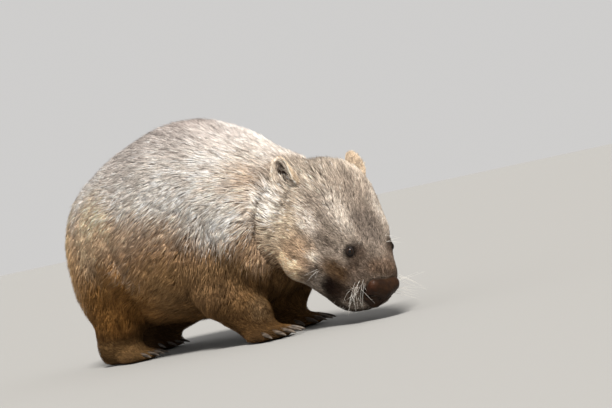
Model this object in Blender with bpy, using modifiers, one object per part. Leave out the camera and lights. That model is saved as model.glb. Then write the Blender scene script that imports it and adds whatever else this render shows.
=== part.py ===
"""A common wombat, life size, in mid stride with its nose to the ground.

Metres, +Z up, +X the way the animal faces, +Y its left side. The floor is Z = 0. The body is modelled
whole, as lofts, capsules and ellipsoids that one voxel skin fuses, and is then parted into the pieces
that a person would name. The solids reach to the outline of the coat.
"""

import math
from typing import NamedTuple

import bmesh
import bpy
from mathutils import Matrix, Vector
from mathutils.bvhtree import BVHTree

# Driving dimensions of the trunk
BACK_HEIGHT = 0.352
TRUNK_LENGTH = 0.471
TRUNK_FRONT = 0.235
GIRTH_HALF_WIDTH = 0.158

# Driving dimensions of the head, whose own axes run X to the nose, Y left and Z to the crown
HEAD_PLACE = Vector((0.352, -0.012, 0.040))
HEAD_PITCH = math.radians(53)
HEAD_YAW = math.radians(-10)
HEAD_ROLL = math.radians(-5)
NOSE_WIDTH = 0.056
NOSE_DEPTH = 0.039
EYE_PLACE = Vector((-0.0590, 0.0360, 0.0252))
EYE_LOOK = Vector((0.42, 0.80, 0.42))
EYE_RADIUS = 0.0085
EYE_OPENING = (0.0074, 0.0056)
LID_THICKNESS = 0.0018
LID_CORNER = 0.0042
EAR_PLACE = Vector((-0.191, 0.066, 0.027))
EAR_WAY = {-1: Vector((-0.80, 0.50, 0.36)), 1: Vector((-0.86, 0.34, 0.36))}
EAR_OPENS = Vector((0.25, 0.90, 0.05))
EAR_LENGTH = 0.062
EAR_SUNK = 0.27
EAR_WIDTH = 0.060
EAR_ROLL = 0.0165
EAR_SOCKET = 0.0009
EAR_THICKNESS = 0.0032
MOUTH_HEIGHT = -0.049
LIP_RADIUS = 0.0034
GROOVE_RADIUS = 0.0013

# Driving dimensions of the legs: where each foot stands, the animal's right side (-1) and left side (1)
FORE_FEET = {-1: (0.148, -0.075), 1: (0.096, 0.062)}
HIND_FEET = {-1: (-0.118, -0.088), 1: (-0.206, 0.062)}
FORE_CLAW = (0.031, 0.0042)
HIND_CLAW = (0.027, 0.0036)
ANKLE_HEIGHT = 0.046

TAIL_ROOT = Vector((-0.224, 0, 0.184))
TAIL_TIP = Vector((-0.238, 0, 0.168))
TAIL_RADIUS = 0.009

# Where the neck parts from the torso and the head from the neck: a point of each cut and its normal
NECK_ROOT = ((0.184, 0.0, 0.17), (1.0, 0.0, 0.16))
NECK_TOP = ((0.230, 0.0, 0.17), (1.0, -0.22, -0.05))

# How the pieces are fused and parted
GAP = 0.0003
VOXEL = 0.0042
RING_POINTS = 40
RINGS_BETWEEN = 3
FLESH_TRIANGLES = 4000
DETAIL_COST = 1.5e-9
FLOOR_DEPTH = 0.1
NAMES = {-1: "right", 1: "left"}

FUR = ("coat", (0.42, 0.33, 0.25, 1.0), 0.95)
HORN = ("horn", (0.10, 0.08, 0.07, 1.0), 0.45)
LEATHER = ("nose_leather", (0.10, 0.065, 0.05, 1.0), 0.55)
CORNEA = ("cornea", (0.01, 0.008, 0.007, 1.0), 0.08)


class Section(NamedTuple):
    """One cross-section of a loft: where it stands and how far it reaches."""

    at: float
    low: float
    high: float
    half: float
    waist: float
    square: float


# Shares of TRUNK_LENGTH from the chest back, of BACK_HEIGHT and of GIRTH_HALF_WIDTH, rump first
TRUNK_SECTIONS = (
    (1.000, 0.500, 0.560, 0.08),
    (0.975, 0.400, 0.640, 0.32),
    (0.930, 0.290, 0.745, 0.55),
    (0.860, 0.200, 0.822, 0.73),
    (0.750, 0.145, 0.897, 0.90),
    (0.605, 0.122, 0.960, 1.00),
    (0.460, 0.118, 1.000, 1.00),
    (0.350, 0.125, 0.975, 0.95),
    (0.230, 0.145, 0.892, 0.85),
    (0.130, 0.195, 0.805, 0.74),
    (0.060, 0.280, 0.738, 0.61),
    (0.000, 0.390, 0.660, 0.36),
)

# Back from the nose pad, down and up from its middle, half width, height of the widest line, squareness
HEAD_SECTIONS = (
    Section(-0.002, -0.022, 0.012, 0.019, -0.004, 2.4),
    Section(-0.007, -0.046, 0.021, 0.031, -0.010, 2.5),
    Section(-0.014, -0.061, 0.029, 0.039, -0.016, 2.5),
    Section(-0.030, -0.071, 0.035, 0.044, -0.022, 2.6),
    Section(-0.055, -0.078, 0.043, 0.052, -0.026, 2.6),
    Section(-0.080, -0.084, 0.051, 0.063, -0.030, 2.6),
    Section(-0.108, -0.091, 0.059, 0.075, -0.034, 2.6),
    Section(-0.140, -0.095, 0.067, 0.084, -0.033, 2.5),
    Section(-0.172, -0.094, 0.073, 0.083, -0.026, 2.5),
    Section(-0.202, -0.082, 0.068, 0.074, -0.016, 2.4),
    Section(-0.230, -0.054, 0.048, 0.050, -0.006, 2.2),
)

# What bulges on each side of the head: the brow, the cheek and the pad that bears the whiskers
HEAD_BULGES = (
    ("brow", (-0.112, 0.038, 0.028), (0.046, 0.021, 0.022)),
    ("cheek", (-0.128, 0.052, -0.036), (0.056, 0.036, 0.052)),
    ("whisker_pad", (-0.022, 0.021, -0.028), (0.022, 0.023, 0.024)),
)


def clear_scene():
    """Takes away whatever the file opened with."""
    for found in list(bpy.data.objects):
        bpy.data.objects.remove(found, do_unlink=True)


def collection(name):
    """A new collection in the scene."""
    made = bpy.data.collections.new(name)
    bpy.context.scene.collection.children.link(made)
    return made


def material(finish):
    """The Principled material of a named finish."""
    name, colour, roughness = finish
    if name in bpy.data.materials:
        return bpy.data.materials[name]
    made = bpy.data.materials.new(name)
    made.use_nodes = True
    shader = made.node_tree.nodes["Principled BSDF"]
    shader.inputs["Base Color"].default_value = colour
    shader.inputs["Roughness"].default_value = roughness
    shader.inputs["Metallic"].default_value = 0.0
    return made


def mesh_object(name, mesh_tools, place):
    """A bmesh as an object of a collection."""
    mesh = bpy.data.meshes.new(name)
    mesh_tools.to_mesh(mesh)
    mesh_tools.free()
    made = bpy.data.objects.new(name, mesh)
    place.objects.link(made)
    return made


def evaluated_copy(source, name, place):
    """The evaluated mesh of an object as a plain mesh object, its place baked in."""
    bpy.context.view_layer.update()
    graph = bpy.context.evaluated_depsgraph_get()
    mesh = bpy.data.meshes.new_from_object(source.evaluated_get(graph))
    mesh.transform(source.matrix_world)
    made = bpy.data.objects.new(name, mesh)
    place.objects.link(made)
    return made


def smooth_between(rows, steps):
    """Rows of numbers with steps more between each pair, on Catmull-Rom curves."""
    last = len(rows) - 1
    found = []
    for i in range(last):
        before, start = rows[max(i - 1, 0)], rows[i]
        end, after = rows[i + 1], rows[min(i + 2, last)]
        for k in range(steps):
            t = k / steps
            found.append(tuple(
                0.5 * (2 * b + (c - a) * t + (2 * a - 5 * b + 4 * c - d) * t * t
                       + (3 * b - a - 3 * c + d) * t ** 3)
                for a, b, c, d in zip(before, start, end, after)
            ))
    found.append(tuple(rows[last]))
    return found


def loft(name, sections, place, frame=Matrix.Identity(4)):
    """A closed body through superelliptic sections along X, wider below or above its waist as they say."""
    rings = [Section(*row) for row in smooth_between(sections, RINGS_BETWEEN)]
    shape = bmesh.new()
    made = []
    for ring in rings:
        made.append([])
        for i in range(RING_POINTS):
            turn = 2 * math.pi * i / RING_POINTS
            across, up = math.cos(turn), math.sin(turn)
            power = 2 / ring.square
            y = math.copysign(abs(across) ** power, across) * ring.half
            reach = ring.high - ring.waist if up >= 0 else ring.waist - ring.low
            z = ring.waist + math.copysign(abs(up) ** power, up) * reach
            made[-1].append(shape.verts.new((ring.at, y, z)))
    for one, other in zip(made, made[1:]):
        for i in range(RING_POINTS):
            j = (i + 1) % RING_POINTS
            shape.faces.new((one[i], one[j], other[j], other[i]))
    shape.faces.new(made[0])
    shape.faces.new(made[-1])
    bmesh.ops.recalc_face_normals(shape, faces=shape.faces)
    bmesh.ops.transform(shape, matrix=frame, verts=shape.verts)
    return mesh_object(name, shape, place)


def ellipsoid(name, centre, radii, place, turn=Matrix.Identity(4), segments=24):
    """An ellipsoid, turned about its centre."""
    shape = bmesh.new()
    bmesh.ops.create_uvsphere(shape, u_segments=segments, v_segments=segments // 2, radius=1)
    size = Matrix.Diagonal((*radii, 1))
    bmesh.ops.transform(shape, matrix=Matrix.Translation(centre) @ turn @ size, verts=shape.verts)
    return mesh_object(name, shape, place)


def add_hull(shape, balls, segments):
    """Adds one convex hull round balls, each a centre and a radius, to a bmesh."""
    verts = []
    for centre, radius in balls:
        for i in range(segments // 2 + 1):
            down = math.pi * i / (segments // 2)
            for k in range(segments if 0 < i < segments // 2 else 1):
                turn = 2 * math.pi * k / segments
                ring = math.sin(down)
                way = Vector((ring * math.cos(turn), ring * math.sin(turn), math.cos(down)))
                verts.append(shape.verts.new(centre + radius * way))
    bmesh.ops.convex_hull(shape, input=verts)
    spare = [v for v in verts if v.is_valid and not v.link_faces]
    bmesh.ops.delete(shape, geom=spare, context="VERTS")


def capsules(name, balls, place, segments=20):
    """The hull of each pair of neighbouring balls, as one object of overlapping bodies."""
    shape = bmesh.new()
    for pair in zip(balls, balls[1:]):
        add_hull(shape, pair, segments)
    bmesh.ops.recalc_face_normals(shape, faces=shape.faces)
    return mesh_object(name, shape, place)


def hull_of(name, balls, place, segments=24):
    """One convex body round all the balls."""
    shape = bmesh.new()
    add_hull(shape, balls, segments)
    bmesh.ops.recalc_face_normals(shape, faces=shape.faces)
    return mesh_object(name, shape, place)


def slab(name, centre, normal, size, place, thickness=GAP):
    """A thin plate across a normal, the cut between two neighbours."""
    shape = bmesh.new()
    bmesh.ops.create_cube(shape, size=1)
    turn = Vector(normal).to_track_quat("Z", "Y").to_matrix().to_4x4()
    stretch = Matrix.Diagonal((size[0], size[1], thickness, 1))
    bmesh.ops.transform(
        shape, matrix=Matrix.Translation(centre) @ turn @ stretch, verts=shape.verts
    )
    return mesh_object(name, shape, place)


def tube(name, points, radius, place, cyclic=False, resolution=1):
    """A round wire through points, as a closed mesh."""
    curve = bpy.data.curves.new(name, "CURVE")
    curve.dimensions = "3D"
    curve.bevel_depth = radius
    curve.bevel_resolution = resolution
    curve.use_fill_caps = True
    line = curve.splines.new("POLY")
    line.points.add(len(points) - 1)
    for point, target in zip(line.points, points):
        point.co = (*target, 1)
    line.use_cyclic_u = cyclic
    wire = bpy.data.objects.new(name + "_curve", curve)
    place.objects.link(wire)
    made = evaluated_copy(wire, name, place)
    bpy.data.objects.remove(wire, do_unlink=True)
    shape = bmesh.new()
    shape.from_mesh(made.data)
    bmesh.ops.remove_doubles(shape, verts=shape.verts, dist=1e-6)
    bmesh.ops.recalc_face_normals(shape, faces=shape.faces)
    shape.to_mesh(made.data)
    shape.free()
    return made


def combine(base, others, operation, name, place):
    """A Boolean of a mesh with each of some others, applied. Base and others are then taken away."""
    for other in others:
        step = base.modifiers.new("combine", "BOOLEAN")
        step.operation = operation
        step.object = other
        step.solver = "EXACT"
    made = evaluated_copy(base, name, place)
    for old in [base, *others]:
        bpy.data.objects.remove(old, do_unlink=True)
    return largest_body(made)


def swollen(source, by, name, place):
    """A copy of a mesh with every point moved out along its normal."""
    made = bpy.data.objects.new(name, source.data.copy())
    place.objects.link(made)
    grow = made.modifiers.new("grow", "DISPLACE")
    grow.mid_level = 0
    grow.strength = by
    grown = evaluated_copy(made, name, place)
    bpy.data.objects.remove(made, do_unlink=True)
    return grown


def copy_of(source, name, place):
    """A copy of an object with its own mesh."""
    made = bpy.data.objects.new(name, source.data.copy())
    place.objects.link(made)
    return made


def islands(shape):
    """The connected bodies of a bmesh, as lists of vertices."""
    left = set(shape.verts)
    found = []
    while left:
        seed = left.pop()
        body, edge = {seed}, [seed]
        while edge:
            for link in edge.pop().link_edges:
                for vert in link.verts:
                    if vert in left:
                        left.discard(vert)
                        body.add(vert)
                        edge.append(vert)
        found.append(list(body))
    return found


def largest_body(made):
    """Keeps only the largest closed surface of a mesh, in triangles."""
    shape = bmesh.new()
    shape.from_mesh(made.data)
    bodies = sorted(islands(shape), key=len)
    for body in bodies[:-1]:
        bmesh.ops.delete(shape, geom=body, context="VERTS")
    bmesh.ops.triangulate(shape, faces=shape.faces)
    shape.to_mesh(made.data)
    shape.free()
    return made


def part_by(whole, cutter, places, scratch):
    """Cuts a whole by a plate that goes right through it, into the bodies nearest to the named places."""
    cut = whole.modifiers.new("part", "BOOLEAN")
    cut.operation = "DIFFERENCE"
    cut.object = cutter
    cut.solver = "EXACT"
    halves = evaluated_copy(whole, "halves", scratch)
    for old in (whole, cutter):
        bpy.data.objects.remove(old, do_unlink=True)
    shape = bmesh.new()
    shape.from_mesh(halves.data)
    shape.verts.index_update()
    bodies = sorted(islands(shape), key=len)[-len(places):]
    kept = [[v.index for v in body] for body in bodies]
    middles = [sum((v.co for v in body), Vector()) / len(body) for body in bodies]
    shape.free()
    made = {}
    for name, place in places.items():
        nearest = min(range(len(kept)), key=lambda i: (middles[i] - Vector(place)).length)
        piece = copy_of(halves, name, scratch)
        inside = set(kept[nearest])
        shape = bmesh.new()
        shape.from_mesh(piece.data)
        shape.verts.index_update()
        outside = [v for v in shape.verts if v.index not in inside]
        bmesh.ops.delete(shape, geom=outside, context="VERTS")
        bmesh.ops.triangulate(shape, faces=shape.faces)
        shape.to_mesh(piece.data)
        shape.free()
        made[name] = piece
    bpy.data.objects.remove(halves, do_unlink=True)
    return made


def head_frame():
    """From the head's own axes (X to the nose, Z to the crown) to the animal's."""
    turn = Matrix.Rotation(HEAD_YAW, 4, "Z") @ Matrix.Rotation(HEAD_ROLL, 4, "X")
    return Matrix.Translation(HEAD_PLACE) @ turn @ Matrix.Rotation(HEAD_PITCH, 4, "Y")


def on_head(point, side=1):
    """A point given in the head's axes for its left side, in the animal's, mirrored where side is -1."""
    return head_frame() @ Vector((point[0], side * point[1], point[2]))


def way_on_head(direction, side=1):
    """A direction given in the head's axes for its left side, in the animal's."""
    way = Vector((direction[0], side * direction[1], direction[2]))
    return (head_frame().to_3x3() @ way).normalized()


def trunk_sections():
    """The trunk's sections at real size, from the driving dimensions."""
    found = []
    for back, low, high, half in TRUNK_SECTIONS:
        bottom, top = low * BACK_HEIGHT, high * BACK_HEIGHT
        waist = bottom + 0.46 * (top - bottom)
        found.append(Section(
            TRUNK_FRONT - back * TRUNK_LENGTH, bottom, top, half * GIRTH_HALF_WIDTH, waist, 2.25
        ))
    return found


def toe_row(x, y, count, spread, reach, radius):
    """The toes of a foot, each two balls from root to tip, the middle ones reaching furthest."""
    toes = []
    for k in range(count):
        share = (k - (count - 1) / 2) / (count - 1)
        bow = 1 - 0.42 * (2 * share) ** 2
        root = Vector((x - 0.014, y + share * spread * 0.74, radius * 0.92))
        tip = Vector((x + reach * bow, y + share * spread * 1.12, radius * 0.78))
        toes.append([(root, radius * 1.08), (tip, radius * 0.86)])
    return toes


def fore_toes(side):
    """The five toes of a forefoot."""
    x, y = FORE_FEET[side]
    return toe_row(x + 0.026, y, 5, 0.054, 0.028, 0.0118)


def hind_toes(side):
    """The five toes of a hind foot."""
    x, y = HIND_FEET[side]
    return toe_row(x + 0.028, y, 5, 0.046, 0.024, 0.0105)


def fore_leg(side, place):
    """The shoulder, arm, wrist and broad paw of a foreleg."""
    x, y = FORE_FEET[side]
    shoulder = ellipsoid(
        f"shoulder_{side}", Vector((0.122, side * 0.076, 0.165)), (0.070, 0.052, 0.100), place
    )
    arm = capsules(f"arm_{side}", [
        (Vector((0.118, side * 0.080, 0.130)), 0.055),
        (Vector((0.106 + 0.25 * (x - 0.13), side * 0.086, 0.086)), 0.046),
        (Vector((x, y, 0.044)), 0.035),
        (Vector((x + 0.010, y, 0.021)), 0.0265),
    ], place)
    toes = [capsules(f"toe_{k}", balls, place, 12) for k, balls in enumerate(fore_toes(side))]
    return [shoulder, arm, *toes]


def hind_leg(side, place):
    """The thigh, shank, heel and long flat foot of a hind leg."""
    x, y = HIND_FEET[side]
    thigh = ellipsoid(
        f"thigh_{side}", Vector((-0.112, side * 0.085, 0.150)), (0.074, 0.060, 0.110), place
    )
    shank = capsules(f"shank_{side}", [
        (Vector((-0.110, side * 0.085, 0.130)), 0.054),
        (Vector((-0.102, side * 0.088, 0.086)), 0.047),
        (Vector((x - 0.006, y, 0.042)), 0.036),
        (Vector((x - 0.020, y, 0.023)), 0.0265),
        (Vector((x + 0.022, y, 0.016)), 0.0215),
    ], place)
    toes = [capsules(f"toe_{k}", balls, place, 12) for k, balls in enumerate(hind_toes(side))]
    return [thigh, shank, *toes]


def claw(name, toe, size, place):
    """A horn claw that curves down from a toe's tip: a tapered cone bent in its upright plane."""
    shape = bmesh.new()
    rows, around = 5, 8
    length, girth = size
    start, radius = toe[1]
    forward = (toe[1][0] - toe[0][0]) * Vector((1, 1, 0))
    forward.normalize()
    rings = []
    for i in range(rows):
        t = i / rows
        along = forward * (length * t - 0.003)
        middle = start + along + Vector((0, 0, radius * 0.28 - length * 0.26 * t * t))
        width = girth * (1 - t) ** 0.55
        across = forward.cross(Vector((0, 0, 1))).normalized()
        rings.append([
            shape.verts.new(
                middle + across * math.cos(a) * width * 0.8 + Vector((0, 0, 1)) * math.sin(a) * width
            )
            for a in [2 * math.pi * k / around for k in range(around)]
        ])
    end = start + forward * (length - 0.003) + Vector((0, 0, radius * 0.28 - length * 0.26))
    tip = shape.verts.new(end)
    for one, other in zip(rings, rings[1:]):
        for k in range(around):
            j = (k + 1) % around
            shape.faces.new((one[k], one[j], other[j], other[k]))
    shape.faces.new(rings[0])
    for k in range(around):
        shape.faces.new((rings[-1][k], rings[-1][(k + 1) % around], tip))
    bmesh.ops.recalc_face_normals(shape, faces=shape.faces)
    return mesh_object(name, shape, place)


def flesh(scratch):
    """The whole body but for ears, eyes, claws and tail, fused into one even skin and thinned."""
    pieces = [
        loft("trunk", trunk_sections(), scratch),
        loft("skull", HEAD_SECTIONS, scratch, head_frame()),
        capsules("nape", [
            (Vector((0.120, 0, 0.215)), 0.095),
            (Vector((0.195, 0, 0.190)), 0.080),
            (on_head((-0.150, 0, -0.020)), 0.072),
        ], scratch),
    ]
    for side in (-1, 1):
        pieces += fore_leg(side, scratch)
        pieces += hind_leg(side, scratch)
        turn = head_frame().to_3x3().to_4x4()
        for name, centre, radii in HEAD_BULGES:
            pieces.append(ellipsoid(f"{name}_{side}", on_head(centre, side), radii, scratch, turn))
    whole = bmesh.new()
    for piece in pieces:
        whole.from_mesh(piece.data)
        bpy.data.objects.remove(piece, do_unlink=True)
    soup = mesh_object("soup", whole, scratch)
    skin = soup.modifiers.new("fuse", "REMESH")
    skin.mode = "VOXEL"
    skin.voxel_size = VOXEL
    fused = evaluated_copy(soup, "fused", scratch)
    bpy.data.objects.remove(soup, do_unlink=True)
    soft = fused.vertex_groups.new(name="soft")
    plain = fused.vertex_groups.new(name="plain")
    back = head_frame().inverted()
    for vert in fused.data.vertices:
        point = back @ vert.co
        near_head = max(0.0, min(1.0, (point.x + 0.20) / 0.05))
        near_foot = max(0.0, min(1.0, (0.055 - vert.co.z) / 0.03))
        soft.add([vert.index], 1 - max(0.35 * near_head, 0.80 * near_foot), "REPLACE")
        plain.add([vert.index], 0.95 - 0.90 * max(near_head, near_foot), "REPLACE")
    ease = fused.modifiers.new("ease", "SMOOTH")
    ease.factor = 0.5
    ease.iterations = 22
    ease.vertex_group = "soft"
    thin = fused.modifiers.new("thin", "DECIMATE")
    thin.ratio = FLESH_TRIANGLES / (2 * len(fused.data.polygons))
    thin.use_collapse_triangulate = True
    thin.vertex_group = "plain"
    thin.vertex_group_factor = DETAIL_COST
    made = evaluated_copy(fused, "flesh", scratch)
    bpy.data.objects.remove(fused, do_unlink=True)
    return made


def split_off(whole, region, name, scratch):
    """Parts the flesh inside a region from the rest, with a gap between them."""
    keep_out = swollen(region, GAP, "keep_out", scratch)
    inner = combine(copy_of(whole, "inner", scratch), [region], "INTERSECT", name, scratch)
    rest = combine(whole, [keep_out], "DIFFERENCE", "rest", scratch)
    return inner, rest


def almond(name, side, place):
    """A prism with the outline of the eye's opening, from the eye's middle outwards."""
    frame = look_frame(side)
    shape = bmesh.new()
    around = 16
    rings = []
    for depth in (0.0, 0.022):
        grow = 1 + 9 * depth
        rings.append([])
        for k in range(around):
            turn = 2 * math.pi * k / around
            x = math.cos(turn) * EYE_OPENING[0] * grow
            y = math.copysign(abs(math.sin(turn)) ** 1.25, math.sin(turn)) * EYE_OPENING[1] * grow
            rings[-1].append(shape.verts.new(frame @ Vector((x, y, depth))))
    for k in range(around):
        j = (k + 1) % around
        shape.faces.new((rings[0][k], rings[0][j], rings[1][j], rings[1][k]))
    for ring in rings:
        shape.faces.new(ring)
    bmesh.ops.recalc_face_normals(shape, faces=shape.faces)
    return mesh_object(name, shape, place)


def look_frame(side):
    """At the middle of an eye: Z the way it looks, X along the eye's length towards the nose."""
    look = way_on_head(EYE_LOOK, side)
    along = way_on_head((0.95, 0.0, -0.32), side)
    across = look.cross(along).normalized()
    along = across.cross(look).normalized()
    turn = Matrix((along, across, look)).transposed().to_4x4()
    return Matrix.Translation(on_head(EYE_PLACE, side)) @ turn


def eye_and_lids(head, side, scratch):
    """An eyeball in a socket, under lids that are one with the head."""
    centre = on_head(EYE_PLACE, side)
    turn = look_frame(side).to_3x3().to_4x4()
    wide, thick = EYE_RADIUS + LID_CORNER, EYE_RADIUS + LID_THICKNESS
    lids = ellipsoid("lids", centre, (wide, thick, thick), scratch, turn, 20)
    head = combine(head, [lids], "UNION", "head", scratch)
    head = combine(head, [almond("opening", side, scratch)], "DIFFERENCE", "head", scratch)
    socket = ellipsoid("socket", centre, [EYE_RADIUS + 1.5 * GAP] * 3, scratch, segments=20)
    head = combine(head, [socket], "DIFFERENCE", "head", scratch)
    ball = ellipsoid("eye", centre, [EYE_RADIUS] * 3, scratch, segments=20)
    return head, ball


def ear_cup(side, place):
    """A rounded leaf rolled into a cup that opens forwards and outwards, its root sunk in the head."""
    way = way_on_head(EAR_WAY[side], side)
    opens = way_on_head(EAR_OPENS, side)
    across = way.cross(opens).normalized()
    opens = across.cross(way).normalized()
    rows, columns = 8, 8
    shape = bmesh.new()
    grid = []
    for i in range(rows + 1):
        t = i / rows
        wide = 0.5 * EAR_WIDTH * (1 - t ** 3) ** 0.5 * (0.78 + 0.32 * math.sin(math.pi * t))
        roll = EAR_ROLL * (0.86 + 0.40 * t)
        middle = on_head(EAR_PLACE, side) + way * EAR_LENGTH * (t - EAR_SUNK) + opens * 0.006 * t * t
        grid.append([])
        for k in range(columns + 1):
            turn = max(wide, 0.002) * (2 * k / columns - 1) / roll
            spot = middle - opens * roll * math.cos(turn) + across * roll * math.sin(turn)
            grid[-1].append(shape.verts.new(spot))
    for one, other in zip(grid, grid[1:]):
        for k in range(columns):
            shape.faces.new((one[k], one[k + 1], other[k + 1], other[k]))
    bmesh.ops.recalc_face_normals(shape, faces=shape.faces)
    leaf = mesh_object("leaf", shape, place)
    wall = leaf.modifiers.new("wall", "SOLIDIFY")
    wall.thickness = EAR_THICKNESS
    wall.offset = 0
    wall.use_even_offset = False
    made = evaluated_copy(leaf, "ear", place)
    bpy.data.objects.remove(leaf, do_unlink=True)
    return made


def mouth_path(head):
    """Points round the front of the muzzle where the lips meet, with the way out of the flesh at each."""
    tree = BVHTree.FromPolygons(
        [v.co for v in head.data.vertices], [p.vertices[:] for p in head.data.polygons]
    )
    found = []
    for k in range(-6, 7):
        turn = math.radians(12.5 * k)
        height = MOUTH_HEIGHT - 0.012 * abs(k / 6) ** 1.6
        start = on_head((-0.050, 0, height))
        way = way_on_head((math.cos(turn), math.sin(turn), 0))
        hit = tree.ray_cast(start, way, 0.2)[0]
        found.append((hit, way))
    return found


def mouth_and_lips(head, scratch):
    """Lips that stand a little proud, the line between them and the cleft up to the nose."""
    path = mouth_path(head)
    lips = tube("lips", [spot - way * LIP_RADIUS * 0.45 for spot, way in path], LIP_RADIUS, scratch)
    line = tube("line", [spot + way * LIP_RADIUS * 0.62 for spot, way in path], GROOVE_RADIUS, scratch)
    spot, way = path[len(path) // 2]
    cleft = tube("cleft", [
        spot + way * LIP_RADIUS * 0.62,
        spot + way * 0.0022 + way_on_head((0, 0, 1)) * 0.012,
        spot + way * 0.0035 + way_on_head((0, 0, 1)) * 0.024,
    ], GROOVE_RADIUS * 0.9, scratch)
    head = combine(head, [lips], "UNION", "head", scratch)
    return combine(head, [line, cleft], "DIFFERENCE", "head", scratch)


def nose_pad(scratch):
    """The bare nose, wider above than below, with a nostril that opens to each side."""
    half, depth = 0.5 * NOSE_WIDTH, NOSE_DEPTH
    balls = [
        (on_head((0.0010, 0, 0.0035)), 0.0115),
        (on_head((-0.0015, 0, 0.0125 - depth)), 0.0085),
    ]
    for side in (-1, 1):
        balls.append((on_head((-0.0050, half - 0.0112, 0.0065), side), 0.0112))
        balls.append((on_head((-0.0060, half - 0.0125, -0.0130), side), 0.0105))
    pad = hull_of("pad", balls, scratch, 14)
    nostrils = []
    for side in (-1, 1):
        balls = (
            (on_head((0.0095, 0.0080, -0.0080), side), 0.0026),
            (on_head((0.0068, 0.0150, -0.0050), side), 0.0036),
            (on_head((0.0022, 0.0235, -0.0105), side), 0.0024),
        )
        nostrils += [hull_of("nostril", pair, scratch, 8) for pair in zip(balls, balls[1:])]
    return combine(pad, nostrils, "DIFFERENCE", "nose", scratch)


def finish(piece, name, look, model, scratch):
    """Gives a finished piece its node name and material, and moves it to the model's collection."""
    piece.name = name
    piece.data.name = name
    piece.data.materials.clear()
    piece.data.materials.append(material(look))
    piece.data.shade_smooth()
    piece.data.set_sharp_from_angle(angle=math.radians(40))
    scratch.objects.unlink(piece)
    model.objects.link(piece)
    return piece


def leg_region(side, hind, scratch):
    """The room a leg takes, from its root in the body to below the floor."""
    if hind:
        x, y = HIND_FEET[side]
        balls = [
            (Vector((-0.110, side * 0.098, 0.160)), 0.070),
            (Vector((-0.104, side * 0.094, 0.100)), 0.058),
            (Vector((x + 0.002, y, 0.000)), 0.060),
        ]
    else:
        x, y = FORE_FEET[side]
        balls = [
            (Vector((0.118, side * 0.092, 0.155)), 0.058),
            (Vector((0.108, side * 0.088, 0.094)), 0.052),
            (Vector((x + 0.014, y, 0.000)), 0.058),
        ]
    return hull_of("region", balls, scratch, 16)


def main():
    """Builds every node of the animal."""
    clear_scene()
    model = collection("wombat")
    scratch = collection("workshop")
    floor = slab("floor", (0, 0, -FLOOR_DEPTH / 2), (0, 0, 1), (2, 2), scratch, FLOOR_DEPTH)
    whole = combine(flesh(scratch), [floor], "DIFFERENCE", "whole", scratch)
    nodes = {}
    for side in (-1, 1):
        for hind in (False, True):
            kind = "hind" if hind else "fore"
            x, y = (HIND_FEET if hind else FORE_FEET)[side]
            leg, whole = split_off(whole, leg_region(side, hind, scratch), "leg", scratch)
            cut = slab("cut", (x, y, ANKLE_HEIGHT), (0, 0, 1), (0.3, 0.3), scratch)
            nodes |= part_by(leg, cut, {
                f"{kind}_leg_{NAMES[side]}": (x, y, 0.12), f"{kind}_foot_{NAMES[side]}": (x, y, 0.02),
            }, scratch)
    nodes |= trunk_pieces(whole, scratch)
    for side in (-1, 1):
        nodes["head"], nodes[f"eye_{NAMES[side]}"] = eye_and_lids(nodes["head"], side, scratch)
    nodes["head"] = mouth_and_lips(nodes["head"], scratch)
    nodes["nose"] = nose_pad(scratch)
    for side in (-1, 1):
        nodes[f"ear_{NAMES[side]}"] = ear_cup(side, scratch)
    sunk = (("nose", 1.5 * GAP), ("ear_left", EAR_SOCKET), ("ear_right", EAR_SOCKET))
    sockets = [swollen(nodes[name], room, "socket", scratch) for name, room in sunk]
    nodes["head"] = combine(nodes["head"], sockets, "DIFFERENCE", "head", scratch)
    nodes["tail"] = capsules(
        "tail", [(TAIL_ROOT, TAIL_RADIUS * 1.25), (TAIL_TIP, TAIL_RADIUS * 0.75)], scratch, 12
    )
    hollow = swollen(nodes["tail"], 1.2 * GAP, "socket", scratch)
    nodes["torso"] = combine(nodes["torso"], [hollow], "DIFFERENCE", "torso", scratch)
    for side in (-1, 1):
        nodes |= clawed(nodes, "fore", side, fore_toes(side), FORE_CLAW, scratch)
        nodes |= clawed(nodes, "hind", side, hind_toes(side)[:4] if side > 0 else hind_toes(side)[1:],
                        HIND_CLAW, scratch)
    looks = {"claw": HORN, "nose": LEATHER, "eye": CORNEA}
    made = [
        finish(piece, name, looks.get(name.split("_")[0], FUR), model, scratch)
        for name, piece in nodes.items()
    ]
    to_origin(made)


def trunk_pieces(whole, scratch):
    """Parts the torso, the neck and the head from each other by two upright cuts."""
    low, high = [slab("cut", spot, way, (0.5, 0.5), scratch) for spot, way in (NECK_ROOT, NECK_TOP)]
    halves = part_by(whole, low, {"torso": (0, 0, 0.18), "front": (0.28, 0, 0.15)}, scratch)
    pieces = part_by(halves["front"], high, {"neck": (0.2, 0, 0.17), "head": (0.3, 0, 0.13)}, scratch)
    return {"torso": halves["torso"], **pieces}


def clawed(nodes, kind, side, toes, size, scratch):
    """The claws of a foot, each sunk in a socket of its own in the foot."""
    foot = f"{kind}_foot_{NAMES[side]}"
    found = {}
    for k, toe in enumerate(toes):
        name = f"claw_{kind}_{NAMES[side]}_{k + 1}"
        found[name] = claw(name, toe, size, scratch)
    sockets = [swollen(piece, GAP, "socket", scratch) for piece in found.values()]
    found[foot] = combine(nodes[foot], sockets, "DIFFERENCE", foot, scratch)
    return found


def to_origin(made):
    """Moves every node so that the middle of the bottom of their box is the origin."""
    corners = [obj.matrix_world @ Vector(corner) for obj in made for corner in obj.bound_box]
    low = [min(corner[i] for corner in corners) for i in range(3)]
    high = [max(corner[i] for corner in corners) for i in range(3)]
    shift = Vector(((low[0] + high[0]) / 2, (low[1] + high[1]) / 2, low[2]))
    print("shift", tuple(round(v, 6) for v in shift))
    for obj in made:
        obj.data.transform(Matrix.Translation(-shift))


main()
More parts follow.
